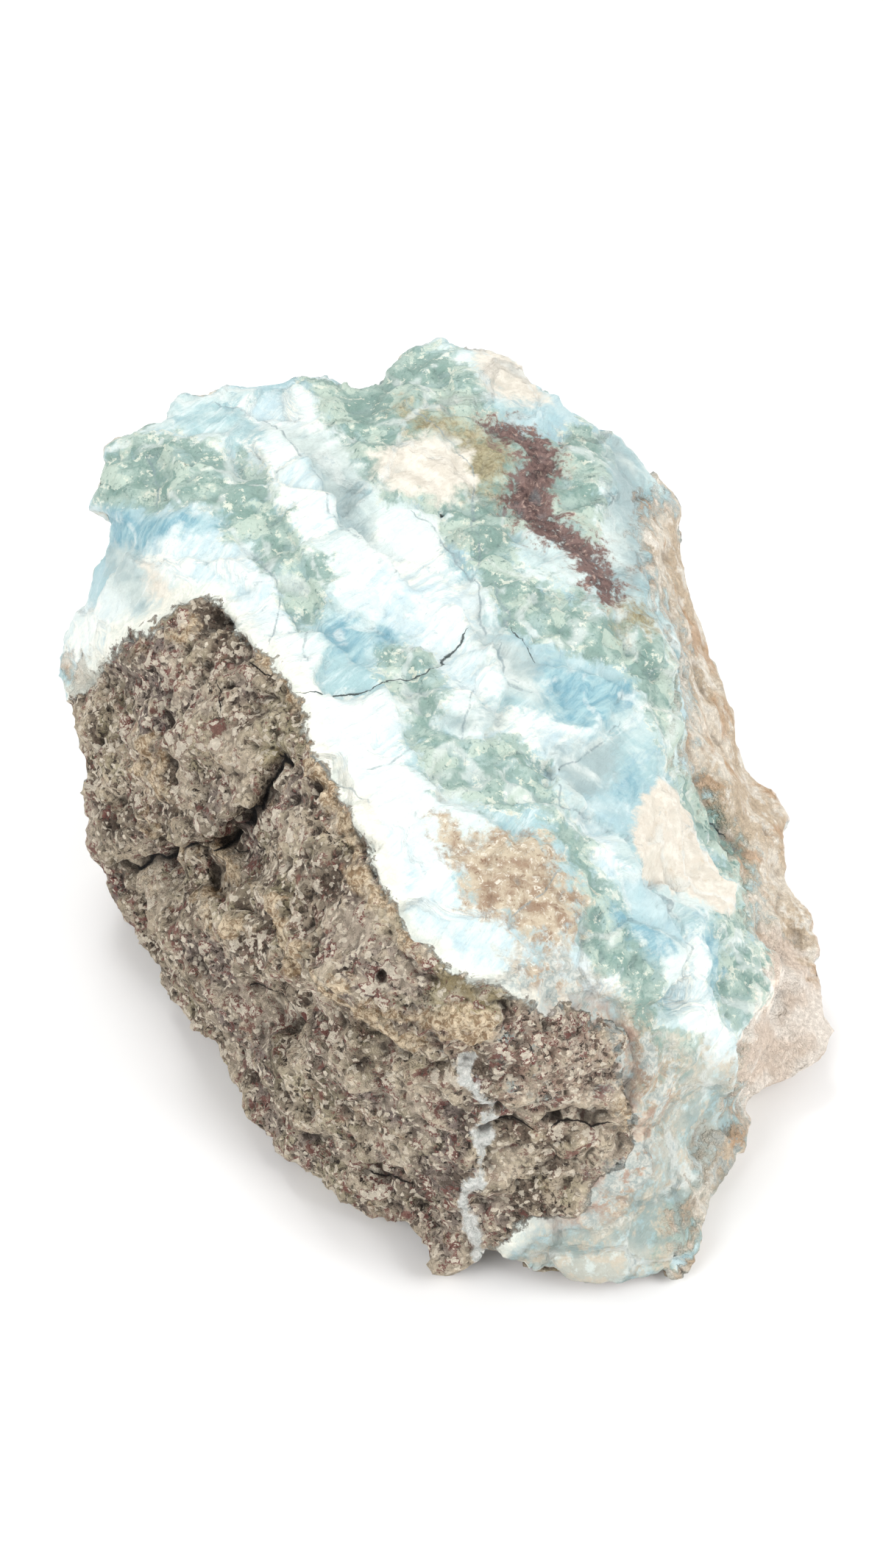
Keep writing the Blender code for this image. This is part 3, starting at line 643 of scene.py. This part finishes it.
def basalt_relief(points, zones):
    """Crests, chipped facets, crystals, gas pits of two sizes, and crusts."""
    crest = 0.3 - np.abs(smooth_noise(points + warp(points, 5, 50), CREST_SIZE, 33)) * 1.8
    zones["crest"] = crest
    basalt = CREST_RISE * crest
    for size, height, seed in CHIPS:
        basalt += height * broken_cells(points, size, seed)[2]
    basalt += 0.55 * layered_noise(points, 3.2, 34, 3)
    away, _, _, pick = broken_cells(points + warp(points, 1.2, 52), CRYSTAL_SIZE, 51)
    crystal = np.where(pick > CRYSTAL_RARE, 0.75 * pick - 0.27 - away, -0.5)
    zones["crystal"] = crystal * CRYSTAL_SIZE
    basalt += CRYSTAL_RISE * soft(crystal / 0.2)
    zones["pit"] = np.full(len(points), -1.0)
    for size, rare, depth, seed in PITS:
        near = layered_noise(points, size, seed, 2) - rare
        basalt -= depth * soft(near / 0.2)
        zones["pit"] = np.maximum(zones["pit"], near)
    zones["crust"] += 1.6 * layered_noise(points, 4, 39, 2)
    crust = soft(zones["crust"] / 0.8 + 0.6 + 0.8 * layered_noise(points, 2, 38, 2))
    return basalt + CRUST_RISE * crust


def pectolite_relief(points, zones, green, loose):
    """Plates that lie a little differently, fibrous ledges, green flakes, and lumps of loose matrix."""
    bent = points + warp(points, 6, 40)
    _, gap, plane, pick = broken_cells(bent, PLATE_SIZE, 41)
    silk = PLATE_STEP * (pick - 0.5) + PLATE_TILT * plane
    zones["plate"] = pick
    zones["gap"] = gap * PLATE_SIZE
    fibre = FIBRE_LIE / np.linalg.norm(FIBRE_LIE)
    drawn = bent - FIBRE_STRETCH * np.outer(bent @ fibre, fibre)
    for size, height, seed in LEDGES:
        silk += height * broken_cells(drawn, size, seed)[2]
    silk += 0.2 * layered_noise(drawn, 3, 44, 3)
    _, _, plane, pick = broken_cells(points + warp(points, 2.4, 53), FLAKE_SIZE, 45)
    zones["flake"] = pick
    flakes = FLAKE_STEP * (pick - 0.5) + FLAKE_TILT * plane
    silk += green * (flakes + 0.3 * layered_noise(points, 2.4, 47, 2))
    lumps = 0.9 * layered_noise(points, 7, 49, 2) + 0.6 * broken_cells(points, 3.4, 48)[2]
    return silk * (1 - 0.75 * loose) + lumps * loose


def relief(points, flat, facing, front, zones):
    """How far each point of the skin stands out, in mm. Also keeps the patterns that colour follows."""
    ragged = layered_noise(points, 3, 20, 2) * 1.5
    rocky = soft((zones["rock"] + ragged) / 0.8 + 0.5)
    rusty = soft((np.maximum(zones["brown"], zones["rust"]) + ragged) / 0.8 + 0.5)
    rocky = np.maximum(rocky, 0.6 * rusty)
    green = soft((zones["green"] + ragged) / 1.5 + 0.5) * (1 - rocky)
    loose = soft(zones["tan"] / 2 + 0.5) * (1 - 0.6 * soft(zones["pink"] / 2 + 0.5))

    # The swell and the steps, then the two kinds of stone
    near = np.linalg.norm(flat - SWELL_AT, axis=1) / SWELL_REACH
    moved = SWELL * np.exp(-(near ** 2))
    for line, rise, reach in STEPS:
        away, side = line_distance(flat, line)
        edge = soft((away * side + STEP_WIDTH / 2) / STEP_WIDTH)
        moved += front * rise * (edge - 0.5) * (1 - soft(away / reach))
    basalt = basalt_relief(points, zones) * (0.65 + 0.35 * facing)
    moved += basalt * rocky + pectolite_relief(points, zones, green, loose) * (1 - rocky)

    # The slab and the vein stand out, cracks and grooves are cut in
    moved += front * SLAB_RISE * soft(zones["slab"] + 0.5)
    moved += facing * VEIN_RISE * soft((zones["vein"] + 0.3) / 0.5)
    for name, _, depth, half in CRACKS:
        moved -= front * depth * np.exp(-((zones[name] / half) ** 2))
    for line, depth, half in GROOVES:
        moved -= front * depth * np.exp(-((line_distance(flat, line)[0] / half) ** 2))
    return moved - SET_BACK


def skin_of_stone():
    """The stone's fine skin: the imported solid's shape with the broken rock's own relief."""
    skin = coarse_skin()
    mesh = skin.data
    points = vertex_values(mesh, "co")
    normals = vertex_values(mesh, "normal")
    flat = seen(points)
    tilt = relaxed(skin, FACING_ROUNDS)[1] @ SIGHT
    facing = soft((tilt - FACING_FROM) / TILT_FADE)
    front = soft((tilt - FRONT_FROM) / TILT_FADE)
    zones = marking_zones(points, flat, tilt, facing)
    zones.update(line_zones(points, flat, facing, front))
    moved = relief(points, flat, facing, front, zones)
    hold = soft(points[:, 2] / FOOT_FADE)
    placed = points + normals * (moved * hold * MM)[:, None]
    placed = np.clip(placed, np.array(CAD_BOX[0]), np.array(CAD_BOX[1]))
    placed[points[:, 2] < FOOT_FLAT, 2] = 0.0
    mesh.vertices.foreach_set("co", placed.ravel())
    mesh.update()
    zones["hollow"] = hollows(skin)
    for name, values in zones.items():
        stored(mesh, name, values)
    mesh.polygons.foreach_set("use_smooth", np.ones(len(mesh.polygons), bool))
    return skin


def tint(red, green, blue):
    """A colour given as it looks on screen, from 0 to 255."""
    return tuple((v / 255) ** 2.2 for v in (red, green, blue)) + (1.0,)


class Surface:
    """A material built from nodes, with short calls for the ones used here. A pattern is a noise kept
    under a name, or a number stored on the skin, and its name stands for it wherever a value goes."""

    def __init__(self, name):
        self.material = bpy.data.materials.new(name)
        self.material.use_nodes = True
        self.tree = self.material.node_tree
        self.shader = self.tree.nodes["Principled BSDF"]
        self.patterns = {}
        self.place = self.scaled(self.make("ShaderNodeTexCoord", {}, "Object"), (1 / MM,) * 3)

    def make(self, kind, inputs, out=0, **settings):
        """A new node with these inputs and settings, as one of its outputs."""
        node = self.tree.nodes.new(kind)
        for key, value in settings.items():
            setattr(node, key, value)
        for key, value in inputs.items():
            self.feed(value, node.inputs[key])
        return node.outputs[out]

    def feed(self, value, socket):
        """Give a socket a value: a pattern's name, a node's output, or plain numbers."""
        if isinstance(value, str):
            value = self.pattern(value)
        if isinstance(value, bpy.types.NodeSocket):
            self.tree.links.new(value, socket)
        else:
            socket.default_value = value

    def pattern(self, name):
        """A noise kept under this name, or else the numbers stored on the skin."""
        if name not in self.patterns:
            self.patterns[name] = self.make("ShaderNodeAttribute", {}, "Fac", attribute_name=name)
        return self.patterns[name]

    def scaled(self, vector, scale):
        """A vector times another, part by part."""
        return self.make("ShaderNodeVectorMath", {0: vector, 1: scale}, operation="MULTIPLY")

    def shifted(self, vector, shift):
        """A vector plus another."""
        return self.make("ShaderNodeVectorMath", {0: vector, 1: shift}, operation="ADD")

    def math(self, operation, a, b=0.0, c=0.0):
        """One step of arithmetic on up to three numbers."""
        return self.make("ShaderNodeMath", {0: a, 1: b, 2: c}, operation=operation)

    def both(self, a, b):
        """Two masks multiplied."""
        return self.math("MULTIPLY", a, b)

    def noise(self, size, detail=3.0, rough=0.55, place=None, twist=0.0):
        """Cloudy noise of this size in mm."""
        inputs = {"Vector": place or self.place, "Scale": 1 / size, "Detail": detail,
                  "Roughness": rough, "Distortion": twist}
        return self.make("ShaderNodeTexNoise", inputs, "Fac")

    def grains(self, size, place):
        """A chance value for each grain of this size in mm."""
        cells = self.make("ShaderNodeTexVoronoi", {"Vector": place, "Scale": 1 / size}, "Color")
        return self.make("ShaderNodeSeparateColor", {0: cells}, 0)

    def ramp(self, value, low, high, start=0.0, end=1.0):
        """Smooth ramp from start to end as the value goes from low to high."""
        inputs = {"Value": value, "From Min": low, "From Max": high, "To Min": start, "To Max": end}
        return self.make("ShaderNodeMapRange", inputs, 0, interpolation_type="SMOOTHSTEP")

    def mix(self, share, a, b):
        """Colour that goes from a to b."""
        return self.make("ShaderNodeMix", {0: share, 6: a, 7: b}, 2, data_type="RGBA")

    def blend(self, share, a, b):
        """Number that goes from a to b."""
        return self.make("ShaderNodeMix", {0: share, 2: a, 3: b}, 0, data_type="FLOAT")

    def spread(self, pattern, low, high, first, second):
        """Colour that goes from one tint to another as a pattern rises from low to high."""
        return self.mix(self.ramp(pattern, low, high), tint(*first), tint(*second))

    def flecked(self, colour, flecks):
        """Colour with flecks over it: a pattern, where it starts and is full, its strength, its tint."""
        for pattern, start, full, strength, fleck in flecks:
            colour = self.mix(self.ramp(pattern, start, full, 0.0, strength), colour, tint(*fleck))
        return colour

    def jittered(self, pattern, noise, amount):
        """A pattern that a noise moves up and down by half this amount."""
        return self.math("MULTIPLY_ADD", self.math("SUBTRACT", noise, 0.5), amount, pattern)

    def zone(self, name, noise, ragged, edge):
        """Mask of a marking whose border a noise breaks up: ragged and edge in mm."""
        shift = self.math("MULTIPLY_ADD", noise, 4 * ragged, name)
        return self.ramp(shift, 2 * ragged - edge, 2 * ragged + edge)

    def line(self, name, half):
        """Mask of thin lines of this half width in mm that wander a little."""
        side = self.math("ABSOLUTE", self.math("ADD", name + "_side", "wander"))
        return self.both(self.ramp(side, half, 0.3 * half), self.ramp(name, 0.75, 0.5))


def keep_patterns(s):
    """The noises and masks that the stone's colours follow."""
    spin = s.math("MULTIPLY_ADD", "plate", 0.5, -1.15)
    turned = s.make("ShaderNodeVectorRotate", {"Vector": s.place, "Axis": (0.0, 0.0, 1.0), "Angle": spin},
                    rotation_type="AXIS_ANGLE")
    drawn = s.scaled(turned, (0.15, 1.0, 0.5))
    elsewhere = s.shifted(s.place, (31.0, 17.0, 9.0))
    shake = s.scaled(s.make("ShaderNodeTexNoise", {"Vector": elsewhere, "Scale": 1.6}, "Color"), (0.6,) * 3)
    s.patterns["fibres"] = s.noise(0.9, 4.0, 0.65, drawn, 0.1)
    s.patterns["threads"] = s.noise(0.28, 2.0, 0.6, drawn)
    s.patterns["fine"] = s.noise(0.6, 4.0, 0.72, None, 0.7)
    s.patterns["edges"] = s.noise(2.0, 5.0, 0.65)
    s.patterns["chips"] = s.noise(1.3, 5.0, 0.7, elsewhere)
    s.patterns["cloud"] = s.noise(6.0, 4.0, 0.6, elsewhere, 0.6)
    s.patterns["grit"] = s.grains(0.46, s.shifted(s.place, shake))
    s.patterns["blotch"] = s.math("MULTIPLY_ADD", "edges", 0.6, s.math("MULTIPLY", "cloud", 0.4))
    s.patterns["specks"] = s.math("MULTIPLY_ADD", "fine", 0.3, "chips")
    s.patterns["red_specks"] = s.math("MULTIPLY_ADD", "fine", 0.4, "edges")
    s.patterns["pits"] = s.math("MULTIPLY_ADD", "fine", 0.3, "pit")
    s.patterns["wander"] = s.math("MULTIPLY_ADD", "edges", 0.7, -0.35)
    s.patterns["flakes"] = s.jittered("flake", "chips", 0.9)
    s.patterns["plate_edge"] = s.jittered("gap", "edges", 2.0)
    s.patterns["crests"] = s.jittered("crest", "edges", 1.6)
    s.patterns["crystals"] = s.jittered("crystal", "chips", 6.0)
    s.patterns["tan_mask"] = s.zone("tan", "edges", 2.4, 1.4)
    s.patterns["rock_mask"] = s.zone("rock", "chips", 0.9, 0.3)


def green_colour(s):
    """Flakes of several greens with dark and pale specks."""
    green = s.spread("edges", 0.38, 0.62, (122, 150, 141), (162, 182, 172))
    return s.flecked(green, [
        ("cloud", 0.5, 0.66, 0.5, (158, 184, 184)),
        ("flakes", 0.62, 0.7, 0.75, (186, 201, 187)),
        ("flakes", 0.3, 0.2, 0.7, (126, 153, 144)),
        ("fine", 0.46, 0.3, 1.0, (108, 131, 125)),
        ("specks", 0.73, 0.76, 1.0, (204, 210, 195)),
    ])


def pectolite_colour(s):
    """Banded pectolite: fibrous blue and white, flaky green with a pale rim, and smaller markings."""
    blue = s.spread("cloud", 0.38, 0.62, (158, 188, 191), (196, 213, 211))
    blue = s.flecked(blue, [
        ("fibres", 0.52, 0.72, 0.7, (216, 228, 228)),
        ("fibres", 0.46, 0.32, 0.55, (144, 176, 187)),
    ])
    white = s.spread("fibres", 0.38, 0.58, (200, 215, 216), (235, 237, 228))
    white = s.flecked(white, [("cloud", 0.48, 0.6, 0.6, (180, 204, 212))])
    colour = s.mix(s.zone("white", "chips", 1.4, 0.7), blue, white)
    colour = s.flecked(colour, [
        ("plate", 0.35, 0.2, 0.4, (168, 196, 204)),
        ("plate", 0.7, 0.85, 0.45, (232, 236, 229)),
    ])
    green = s.zone("green", "edges", 1.8, 0.8)
    colour = s.mix(green, colour, green_colour(s))
    rim = s.ramp(s.math("ABSOLUTE", s.math("SUBTRACT", green, 0.35)), 0.35, 0.1, 0.0, 0.7)
    colour = s.mix(s.both(rim, s.ramp("chips", 0.5, 0.56)), colour, tint(220, 222, 208))
    cream = s.spread("edges", 0.38, 0.62, (208, 201, 187), (228, 222, 209))
    slab = s.mix(s.ramp("fibres", 0.38, 0.58), tint(214, 205, 190), cream)
    slab = s.flecked(slab, [("chips", 0.42, 0.32, 0.6, (200, 184, 160))])
    for name, noise, ragged, edge, marking in [
        ("grey", "chips", 1.2, 1.4, s.spread("cloud", 0.38, 0.62, (156, 175, 176), (192, 204, 200))),
        ("deep", "edges", 1.6, 1.2, s.spread("fibres", 0.36, 0.68, (115, 159, 173), (163, 195, 199))),
        ("ochre", "chips", 2.0, 1.8, s.spread("fine", 0.36, 0.64, (128, 119, 90), (168, 160, 128))),
        ("cream", "edges", 1.2, 0.9, cream),
        ("slab", "edges", 0.6, 0.3, slab),
    ]:
        colour = s.mix(s.zone(name, noise, ragged, edge), colour, marking)
    dusty = s.spread("cloud", 0.4, 0.6, (144, 156, 150), (176, 176, 164))
    dusty = s.flecked(dusty, [("edges", 0.5, 0.62, 0.8, (198, 184, 162))])
    dust = s.both(s.zone("dusty", "edges", 2.0, 1.6), s.ramp("chips", 0.36, 0.5, 0.35, 0.9))
    return s.mix(dust, colour, dusty)


def plate_rims(s, colour):
    """Pale rims on the pectolite's plates, with a hairline here and there."""
    rim = s.both(s.ramp("plate_edge", 0.9, 0.2), s.ramp("cloud", 0.45, 0.55, 0.0, 0.5))
    colour = s.mix(rim, colour, tint(226, 231, 227))
    hairline = s.both(s.ramp("plate_edge", 0.14, 0.02), s.ramp("chips", 0.5, 0.58, 0.0, 0.35))
    return s.mix(hairline, colour, tint(136, 158, 166))


def brown_and_rust(s, colour):
    """The brown patch, the rust line in its paler surround, and the stain at the rock's corner."""
    brown = s.spread("edges", 0.36, 0.62, (148, 124, 102), (194, 180, 156))
    brown = s.flecked(brown, [
        ("fine", 0.54, 0.64, 0.85, (226, 219, 203)),
        ("fine", 0.42, 0.32, 0.85, (124, 96, 76)),
    ])
    rust = s.spread("chips", 0.38, 0.6, (72, 54, 52), (120, 96, 90))
    rust = s.flecked(rust, [
        ("fine", 0.55, 0.68, 0.75, (186, 160, 146)),
        ("fine", 0.42, 0.34, 0.8, (62, 40, 38)),
    ])
    colour = s.mix(s.zone("brown", "chips", 2.4, 1.4), colour, brown)
    surround = s.math("MULTIPLY", s.zone("rust", "chips", 2.4, 2.2), 0.45)
    colour = s.mix(surround, colour, tint(178, 154, 134))
    rusty = s.both(s.zone("rust", "chips", 2.2, 0.7), s.ramp("cloud", 0.32, 0.42, 0.9, 1.0))
    colour = s.mix(rusty, colour, rust)
    stain = s.both(s.zone("stain", "edges", 2.6, 1.8), s.ramp("chips", 0.38, 0.54, 0.3, 0.95))
    return s.mix(stain, colour, brown)


def tan_and_pink(s, colour):
    """The tan matrix at the right, with painted shade in its hollows, and the pale lobe below it."""
    # The tan is darker where the skin is sunk: painted shade between the lumps
    tan = s.spread("mottle", -0.3, 0.4, (212, 192, 166), (240, 229, 211))
    tan = s.flecked(tan, [
        ("edges", 0.5, 0.64, 1.0, (246, 238, 224)),
        ("cloud", 0.47, 0.36, 0.7, (196, 156, 118)),
        ("hollow", 0.04, 0.3, 0.6, (166, 142, 116)),
    ])
    pink = s.spread("mottle", -0.3, 0.3, (234, 215, 197), (246, 235, 222))
    colour = s.mix("tan_mask", colour, tan)
    return s.mix(s.zone("pink", "chips", 1.6, 1.0), colour, pink)


def basalt_colour(s, worn):
    """Basalt: a mottled ground with crusts and with grains of black, cream and dull red, painted shade in
    its gas pits and a painted highlight on raised points.
    """
    crusty = s.spread("fine", 0.42, 0.58, (160, 132, 100), (244, 223, 190))
    olive = s.spread("edges", 0.4, 0.6, (184, 168, 122), (236, 226, 196))
    basalt = s.spread("mottle", -0.45, 0.45, (118, 103, 88), (202, 186, 163))
    basalt = s.flecked(basalt, [
        ("drift", -0.1, 0.4, 0.6, (158, 143, 138)),
        ("cloud", 0.52, 0.62, 0.45, (166, 160, 122)),
    ])
    basalt = s.mix(s.zone("warm", "chips", 2.0, 1.6), basalt, worn)
    # The pits pattern darkens the gas pits: painted shade inside them
    basalt = s.flecked(basalt, [
        ("grit", 0.7, 0.95, 1.0, (228, 213, 190)),
        ("grit", 0.3, 0.1, 0.8, (76, 64, 54)),
        ("fine", 0.56, 0.7, 1.0, (230, 216, 192)),
        ("fine", 0.46, 0.38, 1.0, (40, 32, 27)),
        ("pits", 0.1, 0.25, 0.7, (70, 58, 50)),
    ])
    basalt = s.mix(s.ramp("crests", 0.22, 0.38, 0.0, 0.5), basalt, crusty)
    # Paler where the skin stands out: a painted highlight on raised points
    basalt = s.flecked(basalt, [("hollow", -0.08, -0.4, 0.5, (216, 200, 172))])
    basalt = s.mix(s.math("MULTIPLY", s.zone("olive", "edges", 1.6, 1.4), 0.8), basalt, olive)
    basalt = s.flecked(basalt, [
        ("fine", 0.58, 0.7, 0.5, (234, 222, 200)),
        ("fine", 0.44, 0.37, 0.65, (50, 40, 33)),
        ("shade", 0.12, 0.45, 0.38, (84, 72, 62)),
        ("shade", -0.12, -0.45, 0.4, (236, 219, 194)),
    ])
    reds = s.both(s.ramp("crystals", -0.35, -0.1), s.ramp("drift", -0.3, 0.2, 0.3, 1.0))
    basalt = s.mix(reds, basalt, tint(126, 76, 70))
    basalt = s.flecked(basalt, [
        ("crystals", 0.0, 0.16, 1.0, (232, 220, 200)),
        ("red_specks", 0.79, 0.83, 0.8, (122, 72, 66)),
        ("grit", 0.8, 0.95, 0.85, (236, 224, 204)),
    ])
    return s.mix(s.math("MULTIPLY", s.zone("crust", "edges", 1.8, 0.7), 0.9), basalt, crusty)


def beside_rock(s, colour, worn):
    """The face next to the rock: worn brown where the rock's border is broken up, cream elsewhere."""
    broken = s.both(s.ramp(s.jittered("rock", "chips", 7.0), -4.0, 0.0, 0.0, 0.9), "loosened")
    colour = s.mix(broken, colour, worn)
    clean = s.ramp(s.jittered("rock", "edges", 4.0), -2.6, -0.8, 0.0, 0.85)
    clean = s.both(clean, s.math("SUBTRACT", 1.0, "loosened"))
    return s.mix(clean, colour, s.spread("chips", 0.4, 0.6, (216, 218, 206), (238, 236, 222)))


def vein_and_cracks(s, colour):
    """What lies over both kinds of stone: grey spots in the stain, the vein, painted shade in hollows, and
    cracks.
    """
    grey = s.both(s.zone("stain", "edges", 2.0, 1.4), s.ramp("blotch", 0.5, 0.53, 0.0, 0.85))
    colour = s.mix(grey, colour, s.spread("fine", 0.4, 0.6, (150, 162, 160), (196, 198, 190)))
    vein = s.spread("fine", 0.42, 0.56, (218, 221, 215), (244, 244, 238))
    colour = s.mix(s.zone("vein", "chips", 0.6, 0.25), colour, vein)
    # Painted shade in hollows: dark brown on the rock, grey-blue on the pectolite
    sunk = s.both(s.ramp("hollow", 0.08, 0.6), s.blend("rock_mask", 0.3, 0.8))
    colour = s.mix(sunk, colour, s.mix("rock_mask", tint(146, 164, 168), tint(54, 46, 39)))
    seam = s.both(s.line("seam", 0.16), s.ramp("chips", 0.4, 0.55, 0.1, 0.6))
    colour = s.mix(seam, colour, tint(124, 142, 148))
    colour = s.mix(s.line("split", 0.12), colour, s.mix("rock_mask", tint(66, 76, 76), tint(36, 30, 26)))
    return s.mix(s.line("black", 0.26), colour, tint(22, 19, 16))


def fine_relief(s, dull):
    """Bump in mm: fibres on the silky stone, grains on the dull rock."""
    fibrous = s.math("MULTIPLY_ADD", "fibres", 0.24, s.math("MULTIPLY", "threads", 0.08))
    fibrous = s.math("MULTIPLY_ADD", "fine", 0.14, fibrous)
    grainy = s.math("MULTIPLY_ADD", "chips", 0.8, s.math("MULTIPLY", "grit", 0.12))
    grainy = s.math("MULTIPLY_ADD", "fine", 0.9, grainy)
    height = s.blend(dull, fibrous, grainy)
    return s.make("ShaderNodeBump", {"Height": height, "Strength": 1.0, "Distance": MM})


def stone_surface():
    """Silky banded pectolite and mottled basalt in one material."""
    s = Surface("larimar_in_basalt")
    keep_patterns(s)
    worn = s.spread("edges", 0.38, 0.6, (158, 130, 114), (206, 192, 174))
    worn = s.flecked(worn, [("blotch", 0.53, 0.56, 0.8, (164, 176, 172))])
    colour = plate_rims(s, pectolite_colour(s))
    colour = tan_and_pink(s, brown_and_rust(s, colour))
    colour = s.mix("rock_mask", beside_rock(s, colour, worn), basalt_colour(s, worn))
    s.feed(vein_and_cracks(s, colour), s.shader.inputs["Base Color"])
    dull = s.math("MAXIMUM", "rock_mask", s.math("MULTIPLY", "tan_mask", 0.8))
    silky = s.ramp("fibres", 0.3, 0.7, 0.36, 0.56)
    s.feed(s.blend(dull, silky, 0.86), s.shader.inputs["Roughness"])
    s.feed(fine_relief(s, dull), s.shader.inputs["Normal"])
    s.shader.inputs["Specular IOR Level"].default_value = 0.45
    return s.material


def camera_and_light():
    """The photograph's view, with soft studio light from behind and above."""
    middle = Vector((-PLAN_SHIFT[0], -PLAN_SHIFT[1], SIGHT_HEIGHT))
    lens = bpy.data.cameras.new("camera")
    lens.sensor_width = SENSOR
    lens.lens = SENSOR * EYE_DISTANCE / FRAME_HEIGHT
    camera = bpy.data.objects.new("camera", lens)
    camera.location = middle + Vector(SIGHT) * EYE_DISTANCE
    camera.rotation_euler = (math.pi / 2 - ELEVATION, 0.0, 0.0)
    bpy.context.scene.collection.objects.link(camera)
    bpy.context.scene.camera = camera
    for name, spot, size, power in LIGHTS:
        light = bpy.data.lights.new(name, "AREA")
        light.energy = power
        light.size = size
        lamp = bpy.data.objects.new(name, light)
        lamp.location = spot
        lamp.rotation_euler = (middle - Vector(spot)).to_track_quat("-Z", "Y").to_euler()
        bpy.context.scene.collection.objects.link(lamp)
    world = bpy.data.worlds.new("studio")
    world.use_nodes = True
    sky = world.node_tree.nodes["Background"]
    sky.inputs["Color"].default_value = (1.0, 1.0, 1.0, 1.0)
    sky.inputs["Strength"].default_value = SKY_STRENGTH
    bpy.context.scene.world = world
    bpy.context.scene.view_settings.view_transform = "Standard"


def pale_floor():
    """A plain pale floor, faintly uneven in tone."""
    mesh = bpy.data.meshes.new("floor")
    h = FLOOR_HALF
    mesh.from_pydata([(-h, -h, 0), (h, -h, 0), (h, h, 0), (-h, h, 0)], [], [(0, 1, 2, 3)])
    floor = bpy.data.objects.new("floor", mesh)
    surface = Surface("pale_floor")
    shade = surface.mix(surface.noise(40.0), (0.91, 0.91, 0.91, 1.0), (0.93, 0.93, 0.93, 1.0))
    surface.feed(shade, surface.shader.inputs["Base Color"])
    surface.shader.inputs["Roughness"].default_value = 0.9
    mesh.materials.append(surface.material)
    bpy.context.scene.collection.objects.link(floor)


stone = skin_of_stone()
stone.data.materials.append(stone_surface())
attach(stone, "root")
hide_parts("larimar_stone")
camera_and_light()
pale_floor()
